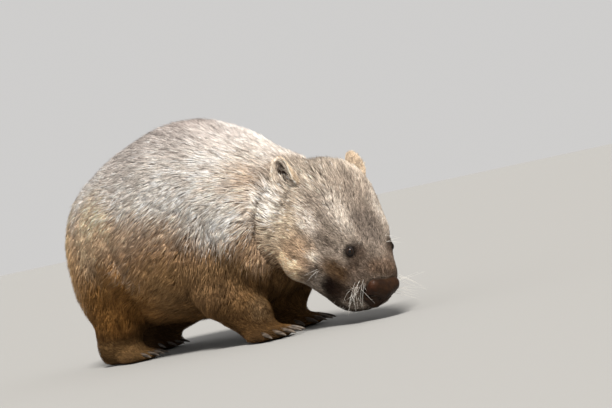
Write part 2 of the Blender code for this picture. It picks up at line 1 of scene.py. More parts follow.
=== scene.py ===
"""Looks of the life-size common wombat: skin, coat, eyes, nose, ears, mouth, claws and whiskers.

Metres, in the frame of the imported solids: +X the way the animal faces, +Y its left side, +Z up. One
skin lies inside the solids of flesh by the depth of the coat, and the coat stands on it as tapered
tufts that follow the lie of the hair out to the solids' outline.
"""

import logging
import math
from dataclasses import dataclass
from enum import Enum
from typing import NamedTuple

import bmesh
import bpy
import numpy as np
from mathutils import Matrix, Vector
from mathutils.bvhtree import BVHTree


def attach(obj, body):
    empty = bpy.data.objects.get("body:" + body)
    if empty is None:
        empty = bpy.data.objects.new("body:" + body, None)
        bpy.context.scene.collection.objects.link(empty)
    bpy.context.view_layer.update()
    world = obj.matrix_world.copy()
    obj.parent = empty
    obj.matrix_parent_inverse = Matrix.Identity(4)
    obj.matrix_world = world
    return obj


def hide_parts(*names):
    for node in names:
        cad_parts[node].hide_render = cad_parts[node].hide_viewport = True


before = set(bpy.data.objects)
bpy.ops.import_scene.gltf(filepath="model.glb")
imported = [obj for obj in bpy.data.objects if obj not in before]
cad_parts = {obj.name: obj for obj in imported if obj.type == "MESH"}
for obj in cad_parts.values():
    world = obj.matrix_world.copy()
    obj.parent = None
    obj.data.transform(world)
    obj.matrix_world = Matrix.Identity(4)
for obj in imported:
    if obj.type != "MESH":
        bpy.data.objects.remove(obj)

Array = np.ndarray
Thing = bpy.types.Object
Finished = bpy.types.Material
Tree = bpy.types.NodeTree
Node = bpy.types.Node
Socket = bpy.types.NodeSocket
Triple = tuple[float, float, float]
Colour = Triple

LOG = logging.getLogger("wombat")
BODY = "root"
SEED = 20

# The head's own axes run X to the nose, Y left and Z to the crown, as in the solids
HEAD_PLACE = Vector((0.294, -0.012, 0.040))
HEAD_PITCH = math.radians(53)
HEAD_YAW = math.radians(-10)
HEAD_ROLL = math.radians(-5)
EYE_PLACE = Vector((-0.0590, 0.0360, 0.0252))
EYE_LOOK = Vector((0.42, 0.80, 0.42))
EYE_ALONG = Vector((0.95, 0.0, -0.32))
EAR_PLACE = Vector((-0.191, 0.066, 0.027))
EAR_WAYS = {-1: Vector((-0.80, 0.50, 0.36)), 1: Vector((-0.86, 0.34, 0.36))}
EAR_OPENING = Vector((0.25, 0.90, 0.05))
MOUTH_HEIGHT = -0.049
THROAT = -0.050

SIDES = {-1: "right", 1: "left"}
FLESH = ["torso", "neck", "head", "tail"] + [
    f"{kind}_{part}_{side}" for kind in ("fore", "hind") for part in ("leg", "foot")
    for side in SIDES.values()
]
FILLING = ["nose", "eye_left", "eye_right"]


class Region(Enum):
    """The parts of the body whose coats differ, in the order of their weights."""

    HEAD = 0
    NECK = 1
    TORSO = 2
    FORE_LEG = 3
    HIND_LEG = 4
    FOOT = 5


REGION_NODES = {
    Region.HEAD: ["head", *FILLING],
    Region.NECK: ["neck"],
    Region.TORSO: ["torso", "tail"],
    Region.FORE_LEG: ["fore_leg_left", "fore_leg_right"],
    Region.HIND_LEG: ["hind_leg_left", "hind_leg_right"],
    Region.FOOT: ["fore_foot_left", "fore_foot_right", "hind_foot_left", "hind_foot_right"],
}


class Tuft(NamedTuple):
    """Roots of the coat as arrays: place, outward normal, lie, length, rise, half width and colour."""

    root: Array
    normal: Array
    lie: Array
    length: Array
    rise: Array
    width: Array
    tone: Array


class Blot(NamedTuple):
    """A soft-edged marking: a centre and radii, how strongly it covers and its colour."""

    centre: Triple
    radii: Triple
    cover: float
    colour: Colour


class Fold(NamedTuple):
    """A crease of the skin along a few points. A depth below 0 raises it as a ridge."""

    points: tuple[Triple, ...]
    width: float
    depth: float


class Spray(NamedTuple):
    """Whiskers of the head's left side: middle, spread and way in its axes, number, length and droop."""

    middle: Triple
    spread: Triple
    way: Triple
    count: int
    length: float
    droop: float


def head_matrix() -> Matrix:
    """The head's own axes and place in the frame."""
    turn = Matrix.Rotation(HEAD_YAW, 4, "Z") @ Matrix.Rotation(HEAD_ROLL, 4, "X")
    return Matrix.Translation(HEAD_PLACE) @ turn @ Matrix.Rotation(HEAD_PITCH, 4, "Y")


def on_head(point: Vector, side: int = 1) -> Vector:
    """A point given for the head's left side, in the frame, mirrored where side is -1."""
    return head_matrix() @ Vector((point[0], side * point[1], point[2]))


def way_on_head(way: Vector, side: int = 1) -> Vector:
    """A direction given for the head's left side, in the frame."""
    return (head_matrix().to_3x3() @ Vector((way[0], side * way[1], way[2]))).normalized()


def in_head(points: Array) -> Array:
    """Points of the frame in the head's axes."""
    turn = np.array(head_matrix().to_3x3())
    return (points - np.array(HEAD_PLACE)) @ turn


def from_head(ways: Array) -> Array:
    """Directions of the head's axes in the frame."""
    return ways @ np.array(head_matrix().to_3x3()).T


def eye_matrix(side: int) -> Matrix:
    """At the middle of an eyeball: Z the way it looks, X along the opening towards the nose."""
    look = way_on_head(EYE_LOOK, side)
    across = look.cross(way_on_head(EYE_ALONG, side)).normalized()
    along = across.cross(look).normalized()
    turn = Matrix((along, across, look)).transposed().to_4x4()
    return Matrix.Translation(on_head(EYE_PLACE, side)) @ turn


def at_eye(points: Array, side: int) -> Array:
    """Points of the frame in an eye's axes."""
    place = np.array(eye_matrix(side))
    return (points - place[:3, 3]) @ place[:3, :3]


def from_eye(points: Array, side: int) -> Array:
    """Points of an eye's axes in the frame."""
    place = np.array(eye_matrix(side))
    return points @ place[:3, :3].T + place[:3, 3]


def unit(ways: Array) -> Array:
    """Directions at length 1."""
    return ways / np.maximum(np.linalg.norm(ways, axis=1, keepdims=True), 1e-9)


def across_surface(ways: Array, normals: Array) -> Array:
    """Directions laid on the surfaces that have these normals."""
    return unit(ways - normals * np.sum(ways * normals, axis=1, keepdims=True))


def soft_step(values: Array, low: float, high: float) -> Array:
    """0 below low, 1 above high and an S curve between."""
    share = np.clip((values - low) / (high - low), 0, 1)
    return share * share * (3 - 2 * share)


def soft_noise(points: Array, size: float, seed: int) -> Array:
    """Smooth noise from -1 to 1 on a lattice of random values.

    Args:
        points: Where it is read, one row a point.
        size: The lattice's spacing.
        seed: Sets the values apart from another noise's.

    Returns:
        One value a point.
    """
    spot = points / size
    cell = np.floor(spot).astype(np.int64)
    part = spot - cell
    part = part * part * (3 - 2 * part)
    total = np.zeros(len(points))
    for corner in np.ndindex(2, 2, 2):
        at = (cell + corner).astype(np.uint64)
        mix = at[:, 0] * np.uint64(73856093) ^ at[:, 1] * np.uint64(19349663)
        mix ^= at[:, 2] * np.uint64(83492791) ^ np.uint64(seed * 2654435761)
        mix ^= mix >> np.uint64(13)
        mix *= np.uint64(1274126177)
        mix ^= mix >> np.uint64(16)
        value = (mix & np.uint64(0xFFFFF)).astype(float) / 0xFFFFF
        weight = np.prod(np.where(corner, part, 1 - part), axis=1)
        total += weight * value
    return 2 * total - 1


def distance_to_path(points: Array, path: Array) -> Array:
    """How far each point lies from a run of straight stretches."""
    best = np.full(len(points), 9.0)
    for start, end in zip(path, path[1:]):
        along = end - start
        share = np.clip((points - start) @ along / (along @ along), 0, 1)
        best = np.minimum(best, np.linalg.norm(points - start - share[:, None] * along, axis=1))
    return best


def vertex_array(mesh: bpy.types.Mesh, what: str = "co") -> Array:
    """A mesh's points, or their normals, as rows."""
    found = np.zeros(len(mesh.vertices) * 3, np.float32)
    if what == "normal":
        mesh.vertex_normals.foreach_get("vector", found)
    else:
        mesh.vertices.foreach_get("co", found)
    return found.reshape(-1, 3).astype(float)


def set_points(mesh: bpy.types.Mesh, points: Array) -> None:
    """Moves a mesh's vertices."""
    mesh.vertices.foreach_set("co", points.astype(np.float32).ravel())
    mesh.update()


def set_tone(mesh: bpy.types.Mesh, tones: Array) -> None:
    """Stores a colour for each vertex, which the finishes read."""
    layer = mesh.attributes.new("tone", "FLOAT_COLOR", "POINT")
    rows = np.concatenate([np.clip(tones, 0, 1), np.ones((len(tones), 1))], axis=1)
    layer.data.foreach_set("color", rows.astype(np.float32).ravel())


def thing_of(name: str, data: bpy.types.ID) -> Thing:
    """A mesh, curve, light or camera as an object of the scene."""
    made = bpy.data.objects.new(name, data)
    bpy.context.scene.collection.objects.link(made)
    return made


def mesh_of(name: str, points: Array, faces: list[Array]) -> bpy.types.Mesh:
    """A mesh from arrays.

    Args:
        name: The mesh's name.
        points: Its vertices as rows.
        faces: Arrays of vertex numbers, each of faces with one number of corners.

    Returns:
        The mesh, shaded smooth.
    """
    mesh = bpy.data.meshes.new(name)
    corners = np.concatenate([rows.ravel() for rows in faces]).astype(np.int32)
    counts = np.concatenate([np.full(len(rows), rows.shape[1]) for rows in faces])
    starts = np.concatenate([[0], np.cumsum(counts)[:-1]]).astype(np.int32)
    mesh.vertices.add(len(points))
    mesh.vertices.foreach_set("co", points.astype(np.float32).ravel())
    mesh.loops.add(len(corners))
    mesh.loops.foreach_set("vertex_index", corners)
    mesh.polygons.add(len(starts))
    mesh.polygons.foreach_set("loop_start", starts)
    mesh.update(calc_edges=True)
    mesh.validate()
    mesh.shade_smooth()
    return mesh


def grid_quads(grid: Array) -> Array:
    """The four-sided faces between the rows and columns of a grid of vertex numbers."""
    corners = [grid[:-1, :-1], grid[:-1, 1:], grid[1:, 1:], grid[1:, :-1]]
    return np.stack(corners, axis=-1).reshape(-1, 4)


def turned_outwards(mesh: bpy.types.Mesh) -> None:
    """Turns the faces of a closed mesh outwards."""
    shape = bmesh.new()
    shape.from_mesh(mesh)
    bmesh.ops.recalc_face_normals(shape, faces=shape.faces)
    shape.to_mesh(mesh)
    shape.free()


def applied(source: Thing, name: str) -> bpy.types.Mesh:
    """The evaluated mesh of an object, which is then taken away."""
    bpy.context.view_layer.update()
    graph = bpy.context.evaluated_depsgraph_get()
    mesh = bpy.data.meshes.new_from_object(source.evaluated_get(graph))
    mesh.name = name
    bpy.data.objects.remove(source, do_unlink=True)
    return mesh


def joined_nodes(names: list[str], name: str) -> Thing:
    """Copies of some nodes of the frame as one object, with their corners merged."""
    shape = bmesh.new()
    for node in names:
        shape.from_mesh(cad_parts[node].data)
    bmesh.ops.remove_doubles(shape, verts=shape.verts, dist=1e-6)
    mesh = bpy.data.meshes.new(name)
    shape.to_mesh(mesh)
    shape.free()
    return thing_of(name, mesh)


def node_tree_of(names: list[str]) -> BVHTree:
    """A search tree of some nodes' surfaces."""
    points: list[Vector] = []
    faces: list[list[int]] = []
    for node in names:
        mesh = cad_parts[node].data
        start = len(points)
        points += [v.co.copy() for v in mesh.vertices]
        faces += [[start + i for i in p.vertices] for p in mesh.polygons]
    return BVHTree.FromPolygons(points, faces)


def dressed(piece: Thing, finish: Finished, replaced: list[str]) -> None:
    """Gives a piece its finish, rides it on the body and hides the nodes that it stands for.

    Args:
        piece: The finished mesh.
        finish: Its material.
        replaced: The nodes that it stands for.
    """
    mesh = piece.data
    mesh.materials.clear()
    mesh.materials.append(finish)
    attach(piece, BODY)
    if replaced:
        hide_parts(*replaced)
    LOG.info("%s: %d vertices, %d faces", piece.name, len(mesh.vertices), len(mesh.polygons))


@dataclass(frozen=True)
class Finish:
    """What every finish shares: its name and the constants of its shader."""

    name: str
    roughness: float
    specular: float = 0.5
    coat: float = 0.0
    coat_roughness: float = 0.04

    def start(self) -> tuple[Finished, Tree, Node]:
        """A new material with its constants set.

        Returns:
            The material, its node tree and its Principled shader.
        """
        made = bpy.data.materials.new(self.name)
        made.use_nodes = True
        shader = made.node_tree.nodes["Principled BSDF"]
        for name, value in (
            ("Roughness", self.roughness), ("Specular IOR Level", self.specular),
            ("Coat Weight", self.coat), ("Coat Roughness", self.coat_roughness),
        ):
            shader.inputs[name].default_value = value
        return made, made.node_tree, shader

    @staticmethod
    def noise(tree: Tree, scale: float, detail: float, stretch: Triple = (1, 1, 1)) -> Socket:
        """A noise on the piece's own coordinates, stretched along some axes."""
        place = tree.nodes.new("ShaderNodeTexCoord")
        turn = tree.nodes.new("ShaderNodeMapping")
        turn.inputs["Scale"].default_value = stretch
        noise = tree.nodes.new("ShaderNodeTexNoise")
        noise.inputs["Scale"].default_value = scale
        noise.inputs["Detail"].default_value = detail
        tree.links.new(place.outputs["Object"], turn.inputs["Vector"])
        tree.links.new(turn.outputs["Vector"], noise.inputs["Vector"])
        return noise.outputs["Fac"]

    @staticmethod
    def bump(tree: Tree, shader: Node, height: Socket, strength: float, distance: float) -> None:
        """Raises the surface by a height."""
        made = tree.nodes.new("ShaderNodeBump")
        made.inputs["Strength"].default_value = strength
        made.inputs["Distance"].default_value = distance
        tree.links.new(height, made.inputs["Height"])
        tree.links.new(made.outputs["Normal"], shader.inputs["Normal"])

    @staticmethod
    def ramp(tree: Tree, factor: Socket, stops: list[tuple[float, Colour]]) -> Socket:
        """Two colours, from dark to light along a factor."""
        made = tree.nodes.new("ShaderNodeValToRGB")
        for spot, (place, colour) in zip(made.color_ramp.elements, stops):
            spot.position, spot.color = place, (*colour, 1)
        tree.links.new(factor, made.inputs["Fac"])
        return made.outputs["Color"]

    @staticmethod
    def own_tone(tree: Tree) -> Socket:
        """The colours that the piece itself carries."""
        tone = tree.nodes.new("ShaderNodeAttribute")
        tone.attribute_name = "tone"
        return tone.outputs["Color"]

    def shaded_tone(self, tree: Tree, shader: Node, shade: Socket, strength: float) -> None:
        """Multiplies the piece's own colours by a shade, for the base colour."""
        blend = tree.nodes.new("ShaderNodeMix")
        blend.data_type = "RGBA"
        blend.blend_type = "MULTIPLY"
        blend.inputs["Factor"].default_value = strength
        tree.links.new(self.own_tone(tree), blend.inputs["A"])
        tree.links.new(shade, blend.inputs["B"])
        tree.links.new(blend.outputs["Result"], shader.inputs["Base Color"])


@dataclass(frozen=True)
class HairFinish(Finish):
    """Hair, whose colour each tuft carries along its length, with a fine uneven shade."""

    grain: float = 900.0
    detail: float = 2.0
    stretch: Triple = (1.0, 1.0, 1.0)
    shade: Colour = (0.55, 0.52, 0.50)
    spread: tuple[float, float] = (0.35, 0.65)
    strength: float = 0.35
    relief: float = 0.0
    relief_height: float = 0.0008

    def build(self) -> Finished:
        """The material."""
        made, tree, shader = self.start()
        noise = self.noise(tree, self.grain, self.detail, self.stretch)
        shade = self.ramp(tree, noise, list(zip(self.spread, (self.shade, (1, 1, 1)))))
        self.shaded_tone(tree, shader, shade, self.strength)
        if self.relief:
            self.bump(tree, shader, noise, self.relief, self.relief_height)
        return made


@dataclass(frozen=True)
class SkinFinish(HairFinish):
    """The underfur and skin between the tufts, with a fine fibrous relief."""

    grain: float = 700.0
    detail: float = 4.0
    stretch: Triple = (0.35, 1.0, 1.0)
    shade: Colour = (0.45, 0.42, 0.40)
    spread: tuple[float, float] = (0.30, 0.70)
    strength: float = 0.80
    relief: float = 0.60


@dataclass(frozen=True)
class LeatherFinish(Finish):
    """Bare skin, pebbled with fine cells. On the nose the piece's own colours darken and warm it."""

    dark: Colour = (0.018, 0.011, 0.009)
    light: Colour = (0.070, 0.040, 0.028)
    blotches: float = 90.0
    pebble: float = 620.0
    relief: float = 0.55
    relief_height: float = 0.0006
    carries_tone: bool = False

    def build(self) -> Finished:
        """The material."""
        made, tree, shader = self.start()
        noise = self.noise(tree, self.blotches, 3.0)
        colour = self.ramp(tree, noise, [(0.35, self.dark), (0.68, self.light)])
        if self.carries_tone:
            self.shaded_tone(tree, shader, colour, 1.0)
        else:
            tree.links.new(colour, shader.inputs["Base Color"])
        place = tree.nodes.new("ShaderNodeTexCoord")
        cells = tree.nodes.new("ShaderNodeTexVoronoi")
        cells.feature = "SMOOTH_F1"
        cells.inputs["Scale"].default_value = self.pebble
        tree.links.new(place.outputs["Object"], cells.inputs["Vector"])
        flip = tree.nodes.new("ShaderNodeMath")
        flip.operation = "SUBTRACT"
        flip.inputs[0].default_value = 1.0
        tree.links.new(cells.outputs["Distance"], flip.inputs[1])
        self.bump(tree, shader, flip.outputs["Value"], self.relief, self.relief_height)
        return made


@dataclass(frozen=True)
class HornFinish(Finish):
    """Claw horn: dark, with fine growth streaks along it."""

    dark: Colour = (0.020, 0.015, 0.012)
    light: Colour = (0.130, 0.100, 0.075)
    streaks: float = 260.0
    stretch: Triple = (0.22, 1.6, 1.6)
    relief: float = 0.35
    relief_height: float = 0.0005

    def build(self) -> Finished:
        """The material."""
        made, tree, shader = self.start()
        noise = self.noise(tree, self.streaks, 5.0, self.stretch)
        colour = self.ramp(tree, noise, [(0.32, self.dark), (0.72, self.light)])
        tree.links.new(colour, shader.inputs["Base Color"])
        self.bump(tree, shader, noise, self.relief, self.relief_height)
        return made


@dataclass(frozen=True)
class EyeFinish(Finish):
    """A dark brown iris round a black pupil, under a wet cornea. The piece carries the pattern."""

    def build(self) -> Finished:
        """The material."""
        made, tree, shader = self.start()
        tree.links.new(self.own_tone(tree), shader.inputs["Base Color"])
        return made


@dataclass(frozen=True)
class EvenFinish(Finish):
    """One even colour, for the plain floor and the whiskers."""

    colour: Colour = (0.270, 0.266, 0.258)

    def build(self) -> Finished:
        """The material."""
        made, _, shader = self.start()
        shader.inputs["Base Color"].default_value = (*self.colour, 1)
        return made


@dataclass
class CoatMap:
    """How deep the coat is, which way it lies and what colour it has, anywhere on the body."""

    # Depth of the coat in metres at distances back from the nose
    face_back: tuple[float, ...] = (0.010, 0.030, 0.060, 0.100, 0.140, 0.180, 0.215)
    face_depth: tuple[float, ...] = (0.0014, 0.0021, 0.0029, 0.0042, 0.0062, 0.0083, 0.0095)
    body_depth: float = 0.0100
    # Depth on the legs and feet at heights above the floor
    leg_height: tuple[float, ...] = (0.0, 0.025, 0.050, 0.090, 0.140)
    leg_depth: tuple[float, ...] = (0.0012, 0.0024, 0.0040, 0.0068, 0.0098)
    eye_depth: float = 0.0011
    eye_reach: float = 0.0110
    eye_ramp: float = 0.12

    # The body's colour at heights above the floor, from dark feet to a pale back, darker again at the very
    # top. It is partly the coat's own colour and partly painted light and shade: painted light high on the
    # flank and painted shade low on the flank
    heights: tuple[float, ...] = (0.0, 0.035, 0.080, 0.125, 0.175, 0.215, 0.255, 0.310, 0.345)
    colours: tuple[Colour, ...] = (
        (0.080, 0.044, 0.020), (0.100, 0.055, 0.024), (0.205, 0.115, 0.048), (0.345, 0.210, 0.098),
        (0.390, 0.245, 0.138), (0.570, 0.435, 0.325), (0.820, 0.735, 0.665), (0.660, 0.595, 0.555),
        (0.330, 0.285, 0.265),
    )
    # Markings of the body, and pale blots of painted light on the upper flank, the shoulder and the neck,
    # for its left side; the other side mirrors them
    blots: tuple[Blot, ...] = (
        Blot((-0.27, 0.00, 0.20), (0.10, 0.24, 0.110), 0.75, (0.640, 0.420, 0.215)),
        Blot((-0.120, 0.150, 0.218), (0.065, 0.060, 0.060), 0.70, (0.940, 0.680, 0.450)),
        Blot((-0.13, 0.14, 0.10), (0.09, 0.08, 0.070), 0.72, (0.285, 0.130, 0.032)),
        Blot((-0.122, 0.154, 0.150), (0.024, 0.030, 0.055), 0.62, (0.250, 0.140, 0.055)),
        # Painted light: a pale patch high on the flank, where the key light falls
        Blot((0.020, 0.130, 0.255), (0.085, 0.060, 0.042), 0.85, (0.940, 0.860, 0.790)),
        Blot((-0.160, 0.145, 0.190), (0.035, 0.030, 0.050), 0.45, (0.600, 0.460, 0.310)),
        Blot((-0.075, 0.152, 0.140), (0.013, 0.025, 0.024), 0.50, (0.600, 0.520, 0.430)),
        # Painted light: a pale patch on the shoulder, where the key light falls
        Blot((0.108, 0.118, 0.198), (0.062, 0.050, 0.050), 0.94, (0.980, 0.900, 0.820)),
        Blot((0.070, 0.125, 0.095), (0.060, 0.045, 0.032), 0.50, (0.310, 0.180, 0.090)),
        # Painted light: two pale patches on the bulge of the neck, where the key light falls
        Blot((0.176, 0.068, 0.202), (0.024, 0.026, 0.030), 0.95, (0.980, 0.930, 0.880)),
        Blot((0.166, 0.078, 0.172), (0.024, 0.024, 0.030), 0.92, (0.930, 0.860, 0.780)),
        Blot((0.146, 0.085, 0.130), (0.024, 0.030, 0.036), 0.90, (0.680, 0.470, 0.310)),
        Blot((0.00, 0.00, 0.02), (0.24, 0.13, 0.070), 0.65, (0.175, 0.090, 0.030)),
        Blot((0.118, 0.086, 0.058), (0.020, 0.024, 0.022), 0.45, (0.300, 0.200, 0.110)),
        Blot((-0.170, 0.100, 0.022), (0.070, 0.050, 0.024), 0.60, (0.240, 0.140, 0.058)),
    )
    # Markings of the head in its own axes, for its left side, with a painted highlight along the bridge and
    # painted shade round the mouth, under the nose and under the chin
    head_base: Colour = (0.285, 0.235, 0.192)
    head_blots: tuple[Blot, ...] = (
        Blot((-0.150, 0.080, -0.020), (0.045, 0.045, 0.055), 0.75, (0.560, 0.450, 0.330)),
        Blot((-0.190, 0.045, 0.040), (0.045, 0.060, 0.045), 0.70, (0.600, 0.510, 0.420)),
        Blot((-0.183, 0.092, -0.003), (0.034, 0.024, 0.032), 0.66, (0.940, 0.860, 0.780)),
        Blot((-0.105, 0.080, -0.024), (0.034, 0.030, 0.032), 0.70, (0.350, 0.235, 0.145)),
        Blot((-0.105, 0.078, -0.056), (0.034, 0.032, 0.022), 0.85, (0.760, 0.550, 0.360)),
        # Painted highlight: a pale stripe along the edge of the bridge
        Blot((-0.100, 0.040, 0.052), (0.055, 0.018, 0.016), 0.65, (0.600, 0.530, 0.460)),
        Blot((-0.126, 0.072, 0.020), (0.030, 0.022, 0.016), 0.75, (0.760, 0.670, 0.590)),
        Blot((-0.109, 0.000, 0.060), (0.018, 0.012, 0.012), 0.50, (0.120, 0.092, 0.072)),
        Blot((-0.136, 0.005, 0.066), (0.012, 0.010, 0.012), 0.50, (0.120, 0.092, 0.072)),
        Blot((-0.160, 0.004, 0.071), (0.014, 0.010, 0.012), 0.50, (0.120, 0.092, 0.072)),
        Blot((-0.074, 0.006, 0.050), (0.045, 0.024, 0.018), 0.72, (0.095, 0.075, 0.063)),
        Blot((-0.088, 0.056, 0.018), (0.026, 0.014, 0.008), 0.70, (0.085, 0.064, 0.050)),
        Blot((-0.114, 0.074, 0.000), (0.024, 0.016, 0.007), 0.55, (0.130, 0.098, 0.074)),
        Blot((-0.052, 0.050, -0.006), (0.018, 0.014, 0.010), 0.60, (0.290, 0.205, 0.140)),
        Blot((-0.055, 0.034, 0.026), (0.018, 0.016, 0.016), 0.92, (0.040, 0.029, 0.023)),
        Blot((-0.0555, 0.042, 0.0285), (0.0110, 0.0105, 0.0095), 1.00, (0.008, 0.006, 0.005)),
        Blot((-0.195, 0.066, 0.030), (0.0095, 0.0110, 0.0095), 0.95, (0.026, 0.017, 0.013)),
        Blot((-0.045, 0.027, 0.034), (0.014, 0.010, 0.010), 0.80, (0.045, 0.034, 0.028)),
        Blot((-0.037, 0.038, 0.016), (0.012, 0.011, 0.015), 0.75, (0.060, 0.044, 0.034)),
        Blot((-0.036, 0.044, -0.002), (0.011, 0.010, 0.013), 0.55, (0.110, 0.078, 0.056)),
        Blot((-0.073, 0.061, -0.027), (0.011, 0.012, 0.011), 0.90, (0.040, 0.030, 0.024)),
        Blot((-0.080, 0.062, -0.051), (0.015, 0.014, 0.012), 0.65, (0.100, 0.070, 0.048)),
        Blot((-0.086, 0.068, -0.014), (0.013, 0.014, 0.008), 0.85, (0.740, 0.660, 0.560)),
        Blot((-0.025, 0.022, 0.008), (0.042, 0.038, 0.042), 0.80, (0.070, 0.046, 0.032)),
        Blot((-0.050, 0.050, -0.012), (0.030, 0.024, 0.022), 0.88, (0.070, 0.037, 0.015)),
        Blot((-0.016, 0.000, 0.028), (0.017, 0.032, 0.012), 0.55, (0.120, 0.072, 0.044)),
        # Painted shade: near-black blots round the mouth, under the nose and under the chin
        Blot((-0.041, 0.046, -0.036), (0.028, 0.024, 0.022), 1.00, (0.007, 0.004, 0.003)),
        Blot((-0.020, 0.040, -0.026), (0.024, 0.020, 0.016), 0.90, (0.020, 0.012, 0.008)),
        Blot((-0.002, 0.014, -0.006), (0.014, 0.022, 0.015), 1.00, (0.006, 0.004, 0.003)),
        Blot((-0.026, 0.020, -0.056), (0.040, 0.036, 0.022), 0.92, (0.024, 0.015, 0.010)),
    )
    # A marking covers fully within the first share of its radii and ends at the second
    marking_edge: tuple[float, float] = (0.45, 1.25)
    ragged_reach: float = 0.012
    broad_shade: float = 0.14
    # Painted shade darkens the coat along the skin's creases; folds with a depth below 0 get painted light
    # along their ridges instead
    shaded_folds: tuple[Fold, ...] = ()
    fold_shade: float = 0.48
    brightness: float = 1.04
    shade_depth: float = 0.0055
    foot_depth: float = 0.0038
    swirl: float = 0.28
    eye_push: float = 1.8
    eye_push_reach: float = 0.0105

    def depth(self, points: Array, weights: Array) -> Array:
        """How far the skin lies inside the solids.

        Args:
            points: Where, one row a point.
            weights: How much of each region each point is.

        Returns:
            One depth a point.
        """
        head = in_head(points)
        face = np.interp(-head[:, 0], self.face_back, self.face_depth)
        for side in SIDES:
            away = np.linalg.norm(points - np.array(on_head(EYE_PLACE, side)), axis=1)
            near = self.eye_depth + np.maximum(away - self.eye_reach, 0) * self.eye_ramp
            face = np.minimum(face, near)
        leg = np.interp(points[:, 2], self.leg_height, self.leg_depth)
        body = np.full(len(points), self.body_depth)
        by_region = np.stack([face, body, body, leg, leg, np.minimum(leg, self.foot_depth)], axis=1)
        return np.sum(by_region * weights, axis=1)

    def lie(self, points: Array, normals: Array, weights: Array) -> Array:
        """The way the coat lies on the surface.

        Args:
            points: Where, one row a point.
            normals: The surface's outward normals there.
            weights: How much of each region each point is.

        Returns:
            One direction a point, at length 1 and along the surface.
        """
        one = np.ones(len(points))
        flank = 1 - np.abs(normals[:, 2])
        rump = soft_step(-points[:, 0], 0.12, 0.27)
        outward = np.sign(points[:, 1])
        ankle = np.maximum(points[:, 2] - 0.02, 0)
        torso = np.stack([-one + 0.75 * rump, 0.10 * outward * rump, -0.95 * flank - 0.75 * rump], axis=1)
        neck = np.stack([-one, 0.10 * outward, -0.55 * flank], axis=1)
        fore = np.stack([-0.35 * one, 0 * outward, -one], axis=1)
        hind = np.stack([-0.20 * one, 0 * outward, -one], axis=1)
        foot = np.stack([0.9 * one, 0 * outward, -0.25 - 20 * ankle], axis=1)
        local = in_head(points)
        muzzle = np.sign(local[:, 1]) * soft_step(local[:, 0], -0.06, 0.0)
        cheek = soft_step(np.abs(local[:, 1]), 0.02, 0.06) * soft_step(-local[:, 0], 0.05, 0.16)
        head = from_head(np.stack([-one, 0.35 * muzzle, -0.30 * cheek], axis=1))
        for side in SIDES:
            local = at_eye(points, side)
            span = np.hypot(local[:, 0], local[:, 1] * 1.3) / self.eye_push_reach
            push = self.eye_push * np.exp(-(span ** 2)) * (local[:, 2] > -0.004)
            outwards = (local * (1, 1, 0)) @ np.array(eye_matrix(side))[:3, :3].T
            head = head + unit(outwards) * push[:, None]
        ways = sum(
            unit(way) * weights[:, [region.value]]
            for region, way in zip(Region, (head, neck, torso, fore, hind, foot))
        )
        swirl = np.stack([soft_noise(points, 0.045, k) for k in (31, 32, 33)], axis=1)
        return across_surface(ways + self.swirl * swirl, normals)

    def covered(self, points: Array, tones: Array, blots: tuple[Blot, ...]) -> Array:
        """Colours with soft-edged blots laid over them, the same on both sides."""
        spots = points * (1, 0, 1) + np.abs(points) * (0, 1, 0)
        for blot in blots:
            away = np.linalg.norm((spots - np.array(blot.centre)) / np.array(blot.radii), axis=1)
            share = blot.cover * (1 - soft_step(away, *self.marking_edge))[:, None]
            tones = tones * (1 - share) + np.array(blot.colour) * share
        return tones

    def tone(self, points: Array, weights: Array) -> Array:
        """The colour of the coat, with its large and small unevenness, and the painted light and shade of
        its heights, blots and creases.

        Args:
            points: Where, one row a point.
            weights: How much of each region each point is.

        Returns:
            One colour a point.
        """
        ragged = points + self.ragged_reach * np.stack(
            [soft_noise(points, 0.03, k) for k in (41, 42, 43)], axis=1
        )
        height = ragged[:, 2] + 0.4 * (ragged[:, 2] - points[:, 2]) + 0.016 * soft_noise(points, 0.06, 44)
        body = np.stack([np.interp(height, self.heights, row) for row in np.array(self.colours).T], axis=1)
        body = self.covered(ragged, body, self.blots)
        head = np.tile(np.array(self.head_base), (len(points), 1))
        local = in_head(points)
        local = local + 0.30 * (in_head(ragged) - local)
        head = self.covered(local, head, self.head_blots)
        share = weights[:, [Region.HEAD.value]]
        tones = head * share + body * (1 - share)
        tones = tones * (1 + self.broad_shade * soft_noise(points, 0.045, 52))[:, None]
        flat = ragged * (1, 0, 1) - np.abs(ragged) * (0, 1, 0)
        # Painted shade along the creases and painted light along the ridges
        for fold in self.shaded_folds:
            away = distance_to_path(flat, np.array(fold.points)) / (fold.width * 1.05)
            share = self.fold_shade * fold.depth / self.shade_depth * np.exp(-(away ** 2))
            tones = tones * (1 - np.clip(share, -0.25, 0.85))[:, None]
        return self.brightness * tones

    def streaks(self, points: Array, lie: Array, size: float = 0.0055) -> Array:
        """Uneven colour drawn out along the lie of the coat, from about -1 to 1."""
        total = np.zeros(len(points))
        for step in range(-3, 4):
            total += soft_noise(points + lie * step * size * 0.8, size, 53)
        return total / 3.2


